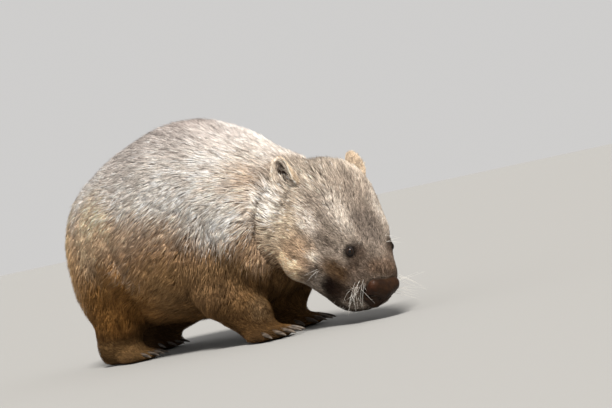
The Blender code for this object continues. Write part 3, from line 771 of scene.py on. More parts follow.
@dataclass
class Skin:
    """The whole skin under the coat, one surface from nose to tail."""

    voxel: float = 0.0031
    closing: float = 0.0030
    easing: int = 5
    blend_rounds: int = 20
    sole_level: float = 0.0003
    eye_radius: float = 0.0085
    lid: float = 0.0006
    opening: tuple[float, float] = (0.0070, 0.0052)
    mouth_width: float = 0.0016
    mouth_depth: float = 0.0016
    # Creases on the right side, which the left side mirrors
    folds: tuple[Fold, ...] = (
        Fold(((0.178, -0.068, 0.222), (0.163, -0.083, 0.193), (0.154, -0.088, 0.165)), 0.0060, 0.0035),
        Fold(((0.154, -0.088, 0.165), (0.148, -0.080, 0.124), (0.131, -0.038, 0.083)), 0.0085, 0.0070),
        Fold(((0.155, -0.088, 0.157), (0.137, -0.102, 0.140), (0.116, -0.110, 0.123),
              (0.101, -0.112, 0.105)), 0.0110, 0.0045),
        Fold(((-0.097, -0.157, 0.200), (-0.086, -0.158, 0.161), (-0.087, -0.146, 0.119),
              (-0.101, -0.115, 0.078), (-0.130, -0.076, 0.050)), 0.0130, 0.0060),
        Fold(((0.010, -0.146, 0.232), (-0.010, -0.154, 0.190), (-0.033, -0.154, 0.153)), 0.012, 0.0022),
        Fold(((0.060, -0.134, 0.206), (0.036, -0.143, 0.166), (0.005, -0.141, 0.125)), 0.013, 0.0028),
        Fold(((0.087, -0.130, 0.186), (0.068, -0.133, 0.153), (0.047, -0.130, 0.103)), 0.013, 0.0035),
        Fold(((0.097, -0.120, 0.128), (0.082, -0.124, 0.097), (0.077, -0.116, 0.062)), 0.012, 0.0035),
        Fold(((0.199, -0.054, 0.212), (0.194, -0.063, 0.194), (0.180, -0.069, 0.178)), 0.0050, 0.0030),
        Fold(((-0.121, -0.151, 0.223), (-0.124, -0.156, 0.177), (-0.150, -0.146, 0.132)), 0.015, 0.0022),
        Fold(((0.180, -0.066, 0.204), (0.172, -0.074, 0.184), (0.166, -0.078, 0.160)), 0.0110, -0.0030),
        Fold(((0.140, -0.098, 0.200), (0.128, -0.108, 0.180), (0.112, -0.116, 0.165)), 0.0180, -0.0030),
    )
    lump: float = 0.0016
    # Round the eyes: how far the lids' edge fades, and where the brow and the socket lie,
    # in spans of the opening
    lid_fade: float = 1.6
    brow: float = 0.0011
    brow_place: tuple[float, float] = (2.4, 1.3)
    socket_span: float = 7.0
    socket_reach: float = 0.02
    socket_depth: float = 0.0022
    lip_rise: float = 0.0008
    lip_spread: tuple[float, float] = (0.0040, 0.0024)
    skin_shade: float = 0.50

    def __post_init__(self) -> None:
        """Paints shade into the coat's colours along the same creases, and light along the ridges."""
        self.coat_map = CoatMap(shaded_folds=self.folds)

    def build(self) -> Thing:
        """Makes the skin, with the regions' weights kept for the coat.

        Returns:
            The skin's object, at its final shape.
        """
        whole = joined_nodes(FLESH + FILLING, "flesh")
        swell = whole.modifiers.new("swell", "DISPLACE")
        swell.mid_level = 0
        swell.strength = self.closing
        fuse = whole.modifiers.new("fuse", "REMESH")
        fuse.mode = "VOXEL"
        fuse.voxel_size = self.voxel
        ease = whole.modifiers.new("ease", "SMOOTH")
        ease.factor = 0.5
        ease.iterations = self.easing
        mesh = applied(whole, "skin")
        self.finer(mesh)
        points, normals = vertex_array(mesh), vertex_array(mesh, "normal")
        self.weights = self.averaged(mesh, self.region_weights(points), self.blend_rounds)
        depth = self.coat_map.depth(points, self.weights) + self.closing
        for fold in self.folds:
            for side in SIDES:
                path = np.array(fold.points) * (1, -side, 1)
                away = distance_to_path(points, path)
                depth += fold.depth * np.exp(-((away / fold.width) ** 2))
        lump = soft_noise(points, 0.060, 11) + 0.5 * soft_noise(points, 0.028, 12)
        rest = 1 - self.weights
        depth -= self.lump * lump * rest[:, Region.HEAD.value] * rest[:, Region.FOOT.value]
        points = points - normals * depth[:, None]
        points[:, 2] = np.maximum(points[:, 2], self.sole_level)
        set_points(mesh, points)
        points = self.relaxed(mesh, points, 2)
        points = self.round_eyes(points)
        set_points(mesh, points)
        self.cut_mouth(mesh)
        points = vertex_array(mesh)
        set_tone(mesh, self.coat_map.tone(points, self.weights) * self.skin_shade)
        return thing_of("skin", mesh)

    def finer(self, mesh: bpy.types.Mesh) -> None:
        """Divides the faces round the eyes and the mouth once more."""
        eyes = [on_head(EYE_PLACE, side) for side in SIDES]
        lips = [
            on_head(Vector((-0.012 - 0.012 * k, y * (0.012 + 0.006 * k), MOUTH_HEIGHT)))
            for k in range(3) for y in (-1, 1)
        ]
        shape = bmesh.new()
        shape.from_mesh(mesh)
        for spots, reach in ((eyes + lips, 0.017), (eyes, 0.0125)):
            near = [
                edge for edge in shape.edges
                if any((edge.verts[0].co - spot).length < reach for spot in spots)
            ]
            bmesh.ops.subdivide_edges(shape, edges=near, cuts=1, use_grid_fill=True)
        shape.to_mesh(mesh)
        shape.free()

    @staticmethod
    def region_weights(points: Array) -> Array:
        """1 for the region whose nodes lie nearest to each point, and 0 for the others."""
        away = np.zeros((len(points), len(Region)))
        for region, names in REGION_NODES.items():
            tree = node_tree_of(names)
            away[:, region.value] = [tree.find_nearest(spot)[3] for spot in points]
        return np.eye(len(Region))[np.argmin(away, axis=1)]

    @staticmethod
    def averaged(mesh: bpy.types.Mesh, rows: Array, rounds: int) -> Array:
        """Rows of numbers on the vertices, each mixed with its neighbours' a few times."""
        ends = np.zeros(len(mesh.edges) * 2, np.int32)
        mesh.edges.foreach_get("vertices", ends)
        others = ends.reshape(-1, 2)[:, ::-1].ravel()
        count = np.bincount(ends, minlength=len(rows)) + 1.0
        for _ in range(rounds):
            columns = [
                (np.bincount(ends, weights=column[others], minlength=len(rows)) + column) / count
                for column in rows.T
            ]
            rows = np.stack(columns, axis=1)
        return rows

    def relaxed(self, mesh: bpy.types.Mesh, points: Array, rounds: int) -> Array:
        """Points eased towards their neighbours' middle, but not on the soles or round the eyes."""
        eased = self.averaged(mesh, points, rounds)
        keep = np.exp(-np.maximum(points[:, 2] - 0.002, 0) / 0.004)
        return points * keep[:, None] + eased * (1 - keep[:, None])

    def opening_span(self, local: Array) -> Array:
        """How far points lie from the middle of the lids' opening: 1 at its edge, more outside."""
        return np.abs(local[:, 0] / self.opening[0]) ** 2 + np.abs(local[:, 1] / self.opening[1]) ** 1.7

    def round_eyes(self, points: Array) -> Array:
        """Opens the lids over each eyeball and lays their edges on it."""
        for side in SIDES:
            local = at_eye(points, side)
            span = self.opening_span(local)
            flat = np.minimum(np.hypot(local[:, 0], local[:, 1]), self.eye_radius * 0.97)
            ball = np.sqrt(self.eye_radius ** 2 - flat ** 2)
            rim = np.clip(1 - (span - 1) / self.lid_fade, 0, 1)
            front = (local[:, 2] > 0) & (np.linalg.norm(local, axis=1) < self.socket_reach)
            lifted = local[:, 2] * (1 - rim) + (ball + self.lid) * rim
            sunk = np.where(span < 1, ball - self.socket_depth, lifted)
            local[:, 2] = np.where(front, sunk, local[:, 2])
            hood = np.exp(-((span - self.brow_place[0]) / self.brow_place[1]) ** 2)
            hood *= soft_step(local[:, 1], -0.002, 0.005)
            local[:, 2] += np.where(front & (span > 1), self.brow * hood, 0)
            near = front & (span < self.socket_span)
            points = np.where(near[:, None], from_eye(local, side), points)
        return points

    def mouth_path(self, tree: BVHTree) -> Array:
        """Points round the front of the muzzle where the lips meet."""
        found = []
        for step in range(-12, 13):
            turn = math.radians(6.25 * step)
            height = MOUTH_HEIGHT - 0.012 * abs(step / 12) ** 1.6
            way = way_on_head(Vector((math.cos(turn), math.sin(turn), 0)))
            found.append(tree.ray_cast(on_head(Vector((THROAT, 0, height))), way, 0.2)[0])
        return np.array(found)

    def cut_mouth(self, mesh: bpy.types.Mesh) -> None:
        """Sinks the line of the mouth and rounds the lips beside it."""
        points, normals = vertex_array(mesh), vertex_array(mesh, "normal")
        faces = [list(p.vertices) for p in mesh.polygons]
        self.mouth = self.mouth_path(BVHTree.FromPolygons([Vector(p) for p in points], faces))
        away = distance_to_path(points, self.mouth)
        move = -self.mouth_depth * np.exp(-((away / self.mouth_width) ** 2))
        move += self.lip_rise * np.exp(-(((away - self.lip_spread[0]) / self.lip_spread[1]) ** 2))
        set_points(mesh, points + normals * move[:, None])

    def dress(self, piece: Thing, finish: Finished) -> None:
        """Gives the skin its finish and hides the nodes that it stands for."""
        piece.data.shade_smooth()
        dressed(piece, finish, FLESH)


@dataclass
class Ear:
    """A small rounded ear, rolled into a cup that opens forwards and outwards."""

    side: int
    length: float = 0.059
    sunk: float = 0.28
    span: float = 0.056
    roll: float = 0.0165
    curl: float = 0.006
    thickness: float = 0.0020
    ripple: float = 0.0006
    rows: int = 34
    columns: int = 30
    back_hairs: int = 5200
    rim_hairs: int = 1500
    inner_hairs: int = 1500
    back_hair_width: float = 0.00021
    hair_width: float = 0.00019
    # The coat stops where the cup begins, at this share of the length
    cup_start: float = 0.44
    inner: Colour = (0.034, 0.021, 0.016)
    outer: Colour = (0.460, 0.360, 0.265)
    rim: Colour = (0.780, 0.660, 0.545)

    def axes(self) -> tuple[Array, Array, Array]:
        """The way the ear grows, the way it opens and the way across it."""
        way = way_on_head(EAR_WAYS[self.side], self.side)
        across = way.cross(way_on_head(EAR_OPENING, self.side)).normalized()
        return np.array(way), np.array(across.cross(way).normalized()), np.array(across)

    def rolled(self, along: Array) -> Array:
        """The radius of the cup, wider towards the tip."""
        return self.roll * (0.86 + 0.40 * along)

    def spine(self, along: Array) -> Array:
        """The cup's axis at shares of the length, which curls forwards."""
        way, opens, _ = self.axes()
        straight = np.array(on_head(EAR_PLACE, self.side)) + np.outer(self.length * (along - self.sunk), way)
        return straight + np.outer(self.curl * along ** 2, opens)

    def surface(self, along: Array, over: Array) -> tuple[Array, Array]:
        """The middle of the leaf and the way out of its back.

        Args:
            along: Shares of the length, from root to tip.
            over: From -1 at one edge to 1 at the other.

        Returns:
            Points and directions, one row each.
        """
        _, opens, across = self.axes()
        wide = 0.5 * self.span * np.sqrt(1 - np.minimum(along, 0.999) ** 3)
        wide = np.maximum(wide * (0.78 + 0.32 * np.sin(math.pi * along)), 0.002)
        roll = self.rolled(along)
        turn = (wide * over / roll)[:, None]
        out = -opens * np.cos(turn) + across * np.sin(turn)
        return self.spine(along) + roll[:, None] * out, out

    def holds(self, points: Array) -> Array:
        """True for points inside the cup, where only the ear's own hair grows."""
        way = self.axes()[0]
        along = (points - np.array(on_head(EAR_PLACE, self.side))) @ way / self.length + self.sunk
        reach = np.linalg.norm(points - self.spine(along), axis=1)
        return (along > self.cup_start) & (along < 1) & (reach < 0.88 * self.rolled(along))

    def build(self) -> Thing:
        """The ear as one closed leaf."""
        along, over = np.meshgrid(
            np.linspace(0, 1, self.rows + 1), np.linspace(-1, 1, self.columns + 1), indexing="ij"
        )
        along, over = along.ravel(), over.ravel()
        spots, out = self.surface(along, over)
        thin = 0.5 * self.thickness * (1 - 0.5 * np.maximum(np.abs(over) ** 6, along ** 8))[:, None]
        ripple = self.ripple * soft_noise(spots, 0.008, 61)[:, None]
        points = np.concatenate([spots + out * (thin + ripple), spots - out * (thin - ripple)])
        grid = np.arange((self.rows + 1) * (self.columns + 1)).reshape(self.rows + 1, self.columns + 1)
        back = grid_quads(grid)
        edge = np.concatenate([grid[:, 0], grid[-1, 1:], grid[:-1, -1][::-1], grid[0, 1:-1][::-1]])
        after = np.roll(edge, -1)
        rim = np.stack([edge, after, after + grid.size, edge + grid.size], axis=1)
        mesh = mesh_of(f"ear_{SIDES[self.side]}_leaf", points, [back, back[:, ::-1] + grid.size, rim])
        turned_outwards(mesh)
        border = np.maximum(np.abs(over) ** 5, along ** 9)[:, None]
        blotchy = 1 + 0.2 * soft_noise(spots, 0.006, 62)[:, None]
        outer = np.array(self.outer) * (1 - border) + np.array(self.rim) * border
        inner = np.array(self.inner) * (1 - border) + np.array(self.rim) * 0.7 * border
        set_tone(mesh, np.concatenate([outer * 0.6, inner]) * np.tile(blotchy, (2, 1)))
        return thing_of(mesh.name, mesh)

    def tufts(self, draw: np.random.Generator) -> list[Tuft]:
        """Short hair on the back of the ear, a pale fringe on its rim and a few hairs inside."""
        way, _, across = self.axes()
        count = self.back_hairs
        along, over = draw.uniform(0.20, 0.97, count), draw.uniform(-0.98, 0.98, count)
        spots, out = self.surface(along, over)
        pale = (0.72 + 0.5 * np.abs(over) ** 3 + 0.18 * draw.normal(size=count))[:, None]
        back = Tuft(
            spots + out * 0.0007, out, across_surface(way + 0.30 * draw.normal(size=(count, 3)), out),
            draw.uniform(0.0050, 0.0080, count), draw.uniform(0.0008, 0.0019, count),
            np.full(count, self.back_hair_width), np.array(self.outer) * 1.25 * pale,
        )
        count = self.rim_hairs
        share = draw.uniform(0, 1, count)
        along = np.where(share < 0.7, draw.uniform(0.28, 0.97, count), 0.985)
        over = np.where(share < 0.7, np.sign(share - 0.35), draw.uniform(-1, 1, count))
        spots, out = self.surface(along, over)
        sideways = across * over[:, None] * (along < 0.98)[:, None]
        fringe_way = unit(0.85 * way + 0.40 * sideways + 0.25 * draw.normal(size=(count, 3)))
        fringe = Tuft(
            spots - fringe_way * 0.0012, out, across_surface(fringe_way, out),
            draw.uniform(0.0035, 0.0062, count), draw.uniform(-0.0010, 0.0014, count),
            np.full(count, self.hair_width),
            np.array(self.rim) * (1.15 + 0.18 * draw.normal(size=count))[:, None],
        )
        count = self.inner_hairs
        along = draw.uniform(0.22, 0.95, count)
        over = np.sign(draw.uniform(-1, 1, count)) * (1 - draw.exponential(0.20, count)).clip(0)
        spots, out = self.surface(along, over)
        inward = -across * np.sign(over)[:, None] * 0.60
        inside_way = way + inward + 0.25 * draw.normal(size=(count, 3))
        inside = Tuft(
            spots - out * 0.0007, -out, across_surface(inside_way, out),
            draw.uniform(0.0060, 0.0130, count), draw.uniform(0.0020, 0.0055, count),
            np.full(count, self.hair_width),
            np.array(self.rim) * (0.80 + 0.25 * draw.normal(size=count))[:, None].clip(0.15),
        )
        return [back, fringe, inside]

    def dress(self, piece: Thing, finish: Finished) -> None:
        """Gives the ear its finish and hides the node that it stands for."""
        dressed(piece, finish, [f"ear_{SIDES[self.side]}"])


@dataclass
class Coat:
    """Short dense hair all over the body, in tapered tufts that lie along it."""

    skin: Skin
    ears: list[Ear]
    # Spacing of the tufts for coats up to each depth, and how each region widens it
    depth_steps: tuple[float, ...] = (0.0022, 0.0034, 0.0050, 0.0072, 0.0200)
    spacings: tuple[float, ...] = (0.00084, 0.00094, 0.00108, 0.00145, 0.00208)
    region_spacing: tuple[float, ...] = (0.94, 0.95, 0.99, 1.22, 1.22, 1.72)
    clump: float = 4.6
    clump_pull: float = 0.40
    face_pull: float = 0.17
    length_share: float = 2.25
    face_length_share: float = 1.90
    least_length: float = 0.0020
    thinnest: float = 0.00014
    widening: float = 0.0092
    candidates: int = 1500000
    most_in_piece: int = 31000
    patch: float = 0.003
    dark_tips: float = 0.20
    pale_tips: float = 0.22
    straying: float = 0.32
    rise_range: tuple[float, float] = (0.66, 1.06)
    standing_share: float = 0.07
    standing_rise: float = 1.35
    # Where no hair grows: on the soles, and so near the mouth, the lids' opening and the nose
    sole_height: float = 0.006
    lips_reach: float = 0.0016
    lids_reach: float = 1.22
    nose_reach: float = 0.0006
    root_depth: float = 0.0010

    def roots(self, piece: Thing, draw: np.random.Generator) -> Tuft:
        """Spreads the tufts over the skin, and gives each its length, lie and colour.

        Args:
            piece: The skin.
            draw: The seeded source of every random choice.

        Returns:
            The tufts of the whole skin.
        """
        mesh = piece.data
        mesh.calc_loop_triangles()
        corners = np.zeros(len(mesh.loop_triangles) * 3, np.int32)
        mesh.loop_triangles.foreach_get("vertices", corners)
        corners = corners.reshape(-1, 3)
        points, normals = vertex_array(mesh), vertex_array(mesh, "normal")
        depth = self.skin.coat_map.depth(points, self.skin.weights)
        sides = points[corners]
        area = np.linalg.norm(np.cross(sides[:, 1] - sides[:, 0], sides[:, 2] - sides[:, 0]), axis=1)
        level, spacing = self.spacing(depth[corners].mean(axis=1), self.skin.weights[corners[:, 0]])
        chance = area / spacing ** 2
        chosen = draw.choice(len(corners), self.candidates, p=chance / chance.sum())
        one, two = draw.uniform(size=(2, self.candidates))
        one = np.sqrt(one)
        share = np.stack([1 - one, one * (1 - two), one * two], axis=1)
        mixed = [np.einsum("ij,ijk->ik", share, rows[corners[chosen]]) for rows in (
            points, normals, self.skin.weights, depth[:, None]
        )]
        root, normal, weights, deep = mixed[0], unit(mixed[1]), mixed[2], mixed[3][:, 0]
        level, spacing = self.spacing(deep, weights)
        cell = np.floor(root / spacing[:, None]).astype(np.int64)
        key = ((level * 4000 + cell[:, 0] + 2000) * 4000 + cell[:, 1] + 2000) * 4000 + cell[:, 2] + 2000
        first = np.unique(key, return_index=True)[1]
        root, normal, weights, deep = root[first], normal[first], weights[first], deep[first]
        keep = self.bare_places(root, normal)
        root, normal, weights, deep = root[keep], normal[keep], weights[keep], deep[keep]
        count = len(root)
        on_face = weights[:, 0] * soft_step(-deep, -0.0095, -0.0060)
        share = self.length_share + (self.face_length_share - self.length_share) * on_face
        length = self.least_length + share * deep * draw.uniform(0.85, 1.15, count)
        self.weights = weights
        lie = self.skin.coat_map.lie(root, normal, weights)
        off = self.straying * length[:, None] * draw.normal(size=(count, 3))
        tone = self.skin.coat_map.tone(root + off, weights)
        streak = self.skin.coat_map.streaks(root, lie) * (0.30 - 0.08 * weights[:, 0])
        single = 0.18 * draw.normal(size=count) * (1 + weights[:, 0])
        tone *= np.exp(streak + single)[:, None]
        rise = deep * draw.uniform(*self.rise_range, count)
        standing = draw.uniform(size=count) < self.standing_share
        rise = np.where(standing, rise * self.standing_rise, rise)
        return Tuft(root, normal, lie, length, rise, self.thinnest + self.widening * length, tone)

    def spacing(self, depth: Array, weights: Array) -> tuple[Array, Array]:
        """The class of each place by its coat and region, and the spacing of the tufts there."""
        step = np.searchsorted(self.depth_steps, depth)
        region = np.argmax(weights, axis=1)
        apart = np.array(self.spacings)[step] * np.array(self.region_spacing)[region]
        return step * len(Region) + region, apart

    def bare_places(self, root: Array, normal: Array) -> Array:
        """False for roots on the soles, the nose, the lips' line and the eyes."""
        keep = ~((root[:, 2] < self.sole_height) & (normal[:, 2] < -0.5))
        keep &= distance_to_path(root, self.skin.mouth) > self.lips_reach
        for side in SIDES:
            local = at_eye(root, side)
            near = (local[:, 2] > 0) & (np.linalg.norm(local, axis=1) < self.skin.socket_reach)
            keep &= ~((self.skin.opening_span(local) < self.lids_reach) & near)
        for ear in self.ears:
            keep &= ~ear.holds(root)
        nose = node_tree_of(["nose"])
        front = np.flatnonzero(keep & (in_head(root)[:, 0] > -0.022))
        for index in front:
            spot, out, _, away = nose.find_nearest(Vector(root[index]))
            beneath = (Vector(root[index]) - spot).dot(out) < 0
            keep[index] = not (away < self.nose_reach or beneath)
        return keep

    def clumped(self, tufts: Tuft, draw: np.random.Generator) -> tuple[Array, Array, Array]:
        """Gathers the tips of neighbouring tufts, so that the coat parts into fine locks.

        Args:
            tufts: The tufts.
            draw: The seeded source of every random choice.

        Returns:
            The tufts' middles, their tips and a factor for their colour.
        """
        count = len(tufts.root)
        size = self.clump * (0.0004 + 0.055 * tufts.length)[:, None] * 1.6
        warp = np.stack([soft_noise(tufts.root, 0.006, k) for k in (71, 72, 73)], axis=1)
        cell = np.floor((tufts.root + 0.5 * size * warp) / np.round(size, 3)).astype(np.int64)
        group = np.unique(cell, axis=0, return_inverse=True)[1].ravel()
        groups = group.max() + 1
        tilt = 0.16 * draw.normal(size=(groups, 3))[group] + 0.13 * draw.normal(size=(count, 3))
        lie = across_surface(tufts.lie + tilt, tufts.normal)
        run = np.sqrt(np.maximum(tufts.length ** 2 - tufts.rise ** 2, 1e-8))[:, None]
        rise = tufts.rise[:, None]
        middle = tufts.root + lie * run * 0.45 + tufts.normal * rise * 0.66
        tip = tufts.root + lie * run + tufts.normal * rise
        members = np.bincount(group, minlength=groups)
        meet = np.stack([
            np.bincount(group, weights=column, minlength=groups) / members for column in tip.T
        ], axis=1)
        short = soft_step(-tufts.length, -0.018, -0.011)[:, None]
        pull = self.clump_pull + (self.face_pull - self.clump_pull) * short
        tip = tip + pull * (meet[group] - tip)
        middle = middle + 0.35 * pull * (meet[group] - lie * run * 0.55 - middle)
        shade = np.exp(0.15 * draw.normal(size=groups))[group]
        return middle, tip, shade

    def mesh(self, name: str, tufts: Tuft, draw: np.random.Generator) -> bpy.types.Mesh:
        """The tufts as three-sided spindles, bent once, that taper to the root and the tip.

        Args:
            name: The mesh's name.
            tufts: The tufts.
            draw: The seeded source of every random choice.

        Returns:
            The mesh, with its colours and its map for baking.
        """
        middle, tip, shade = self.clumped(tufts, draw)
        count = len(middle)
        across = unit(np.cross(tufts.lie, tufts.normal)) * tufts.width[:, None]
        ridge = tufts.normal * tufts.width[:, None] * 0.75
        points = np.stack([
            tufts.root - tufts.normal * self.root_depth,
            middle + across, middle - across, middle + ridge, tip,
        ], axis=1).reshape(-1, 3)
        corners = np.array([[2, 1, 0], [3, 2, 0], [1, 3, 0], [1, 2, 4], [2, 3, 4], [3, 1, 4]])
        faces = (5 * np.arange(count)[:, None, None] + corners).reshape(-1, 3)
        mesh = mesh_of(name, points, [faces])
        kind = draw.uniform(size=count)
        end = np.where(kind < self.dark_tips, 0.42, np.where(kind > 1 - self.pale_tips, 1.65, 1.18))
        band = np.stack([np.full(count, 0.50), *[0.66 + 0.34 * end] * 3, end], axis=1)
        tones = (tufts.tone * shade[:, None])[:, None, :] * band[:, :, None]
        set_tone(mesh, tones.reshape(-1, 3))
        self.unwrap(mesh, tufts, faces.ravel())
        return mesh

    def unwrap(self, mesh: bpy.types.Mesh, tufts: Tuft, corners: Array) -> None:
        """Gives each tuft a small patch at its root's place on the skin's six-sided unwrap."""
        low, high = tufts.root.min(axis=0), tufts.root.max(axis=0)
        share = (tufts.root - low) / (high - low)
        axis = np.argmax(np.abs(tufts.normal), axis=1)
        rows = np.arange(len(axis))
        facing = 3 * (tufts.normal[rows, axis] > 0) + axis
        u, v = share[rows, (axis + 1) % 3], share[rows, (axis + 2) % 3]
        left = (facing % 3 + 0.02 + 0.95 * u) / 3
        bottom = (facing // 3 + 0.02 + 0.95 * v) / 2
        corner = self.patch * np.array([[0, 0.5], [0.4, 0], [0.4, 1], [0.45, 0.5], [1, 0.5]])
        spots = (np.stack([left, bottom], axis=1)[:, None, :] + corner).reshape(-1, 2)
        layer = mesh.uv_layers.new(name="OFBake")
        layer.data.foreach_set("uv", spots[corners].astype(np.float32).ravel())

    def pieces(self, tufts: Tuft, weights: Array, draw: np.random.Generator) -> list[Thing]:
        """The coat as pieces by region, each small enough to be kept whole."""
        label = np.argmax(weights, axis=1)
        made = []
        for region in Region:
            rows = np.flatnonzero(label == region.value)
            parts = max(1, math.ceil(len(rows) / self.most_in_piece))
            rows = rows[np.argsort(tufts.root[rows, 0], kind="stable")]
            for number, some in enumerate(np.array_split(rows, parts)):
                name = f"coat_{region.name.lower()}_{number + 1}"
                part = Tuft(*(column[some] for column in tufts))
                made.append(thing_of(name, self.mesh(name, part, draw)))
        return made

    def dress(self, piece: Thing, finish: Finished) -> None:
        """Gives a piece of the coat its finish."""
        dressed(piece, finish, [])


@dataclass
class Eye:
    """A dark wet eyeball behind a rim of bare lid."""

    side: int
    radius: float = 0.0084
    cornea: float = 0.0007
    iris: float = 0.62
    pupil: float = 0.30
    opening: tuple[float, float] = (0.0069, 0.0051)
    lid_thickness: float = 0.0006
    rings: int = 40
    spokes: int = 56
    lid_steps: int = 48
    lid_sides: int = 10
    iris_streaks: int = 23
    iris_colour: Colour = (0.015, 0.0065, 0.003)
    white_colour: Colour = (0.008, 0.005, 0.004)
    pupil_colour: Colour = (0.003, 0.003, 0.003)

    def build(self) -> Thing:
        """The eyeball, with its cornea as a low dome in front."""
        down = np.linspace(0, math.pi, self.rings + 1)[1:-1]
        turn = np.linspace(0, 2 * math.pi, self.spokes, endpoint=False)
        down, turn = [rows.ravel() for rows in np.meshgrid(down, turn, indexing="ij")]
        reach = self.radius + self.cornea * np.exp(-((down / 0.52) ** 4))
        local = np.stack([
            reach * np.sin(down) * np.cos(turn), reach * np.sin(down) * np.sin(turn), reach * np.cos(down),
        ], axis=1)
        poles = np.array([[0, 0, self.radius + self.cornea], [0, 0, -self.radius]])
        local = np.concatenate([local, poles])
        count = (self.rings - 1) * self.spokes
        grid = np.arange(count).reshape(self.rings - 1, self.spokes)
        after = np.roll(grid, -1, axis=1)
        quads = grid_quads(np.hstack([grid, grid[:, :1]]))[:, [0, 3, 2, 1]]
        top = np.stack([np.full(self.spokes, count), grid[0], after[0]], axis=1)
        low = np.stack([np.full(self.spokes, count + 1), after[-1], grid[-1]], axis=1)
        mesh = mesh_of(f"eyeball_{SIDES[self.side]}", from_eye(local, self.side), [quads, top, low])
        angle = np.arccos(np.clip(local[:, 2] / np.linalg.norm(local, axis=1), -1, 1))[:, None]
        streak = 0.5 + 0.5 * np.sin(self.iris_streaks * np.arctan2(local[:, 1], local[:, 0]))
        iris = np.array(self.iris_colour) * (0.6 + 0.8 * streak[:, None])
        tones = np.where(angle > self.iris, np.array(self.white_colour), iris)
        set_tone(mesh, np.where(angle < self.pupil, np.array(self.pupil_colour), tones))
        return thing_of(mesh.name, mesh)

    def build_lids(self) -> Thing:
        """The dark bare margin of the lids, thicker above than below."""
        turn = np.linspace(0, 2 * math.pi, self.lid_steps, endpoint=False)
        x = self.opening[0] * np.cos(turn)
        y = self.opening[1] * np.sign(np.sin(turn)) * np.abs(np.sin(turn)) ** 1.2
        ball = self.radius + 0.4 * self.lid_thickness
        z = np.sqrt(np.maximum(ball ** 2 - x ** 2 - y ** 2, 0))
        spine = np.stack([x, y, z], axis=1)
        out = unit(spine)
        ahead = unit(np.roll(spine, -1, axis=0) - np.roll(spine, 1, axis=0))
        beside = unit(np.cross(ahead, out))
        thick = self.lid_thickness * (1.0 + 0.35 * np.sin(turn))
        points = np.stack([
            spine + thick[:, None] * (out * math.cos(a) * 0.8 + beside * math.sin(a) * 1.5)
            for a in np.linspace(0, 2 * math.pi, self.lid_sides, endpoint=False)
        ], axis=1).reshape(-1, 3)
        grid = np.arange(len(points)).reshape(self.lid_steps, self.lid_sides)
        quads = grid_quads(np.pad(grid, ((0, 1), (0, 1)), mode="wrap"))
        mesh = mesh_of(f"lids_{SIDES[self.side]}", from_eye(points, self.side), [quads])
        turned_outwards(mesh)
        return thing_of(mesh.name, mesh)

    def dress(self, ball: Thing, lids: Thing, wet: Finished, bare: Finished) -> None:
        """Gives the eye its finishes and hides the node that it stands for."""
        dressed(ball, wet, [f"eye_{SIDES[self.side]}"])
        dressed(lids, bare, [])


@dataclass
class Nose:
    """The broad bare nose pad with its two nostrils."""

    voxel: float = 0.0008
    easing: int = 16
    swell: float = 0.0006
    wing: float = 0.0006
    wing_place: tuple[float, float] = (0.0045, 0.0018)
    groove: float = 0.0009
    groove_width: float = 0.0011
    wrinkle: float = 0.00016
    lump: float = 0.0003
    # A nostril of the left side, in the head's axes: a comma that curls back along the side
    nostril: tuple[Triple, ...] = (
        (0.0105, 0.0070, -0.0085), (0.0100, 0.0125, -0.0055), (0.0070, 0.0180, -0.0045),
        (0.0035, 0.0225, -0.0065), (0.0010, 0.0250, -0.0110),
    )
    nostril_width: float = 0.0027
    nostril_depth: float = 0.0034
    # Warm tint of the pad's sides and top: partly rust-coloured dirt and partly painted light on the lit
    # edge
    rust_and_edge_light: Colour = (1.5, 1.05, 0.80)

    def build(self) -> Thing:
        """The pad, rounded and finely wrinkled, with its nostrils sunk."""
        pad = joined_nodes(["nose"], "pad")
        fuse = pad.modifiers.new("fuse", "REMESH")
        fuse.mode = "VOXEL"
        fuse.voxel_size = self.voxel
        ease = pad.modifiers.new("ease", "SMOOTH")
        ease.factor = 0.5
        ease.iterations = self.easing
        mesh = applied(pad, "nose_pad")
        points, normals = vertex_array(mesh), vertex_array(mesh, "normal")
        local = in_head(points)
        middle = np.exp(-((local[:, 1] / self.groove_width) ** 2)) * soft_step(local[:, 2], 0.012, 0.0)
        folded = local * (1, 0, 1) + np.abs(local) * (0, 1, 0)
        away = distance_to_path(folded, np.array(self.nostril))
        hole = np.exp(-((away / self.nostril_width) ** 3))
        wing = np.exp(-(((away - self.wing_place[0]) / self.wing_place[1]) ** 2))
        wing *= soft_step(local[:, 0], -0.002, 0.006)
        shift = self.swell + self.wing * wing - self.groove * middle
        shift += self.wrinkle * soft_noise(points, 0.0020, 81) + self.lump * soft_noise(points, 0.007, 82)
        sunk = from_head(np.array([[-0.85, 0.0, -0.10]]))
        points = points + normals * (shift - 0.35 * self.nostril_depth * hole)[:, None]
        points = points + sunk * (self.nostril_depth * hole)[:, None]
        set_points(mesh, points)
        mesh.shade_smooth()
        # Dirt and painted light: the sides and top of the pad warmed
        edge = soft_step(folded[:, 1], 0.016, 0.027) * soft_step(folded[:, 2], -0.012, 0.008)
        top = soft_step(local[:, 2], 0.004, 0.016)
        warm = np.clip(0.65 * edge + 0.10 * top, 0, 1)[:, None] * (1 - hole[:, None])
        tones = (1 - warm) + np.array(self.rust_and_edge_light) * warm
        # Painted shade: the nostrils and the middle groove darkened
        dark = np.clip(1 - 0.97 * hole - 0.5 * middle, 0.02, 1)[:, None]
        set_tone(mesh, tones * dark / 3)
        return thing_of("nose_pad", mesh)

    def dress(self, piece: Thing, finish: Finished) -> None:
        """Gives the nose its finish and hides the node that it stands for."""
        dressed(piece, finish, ["nose"])


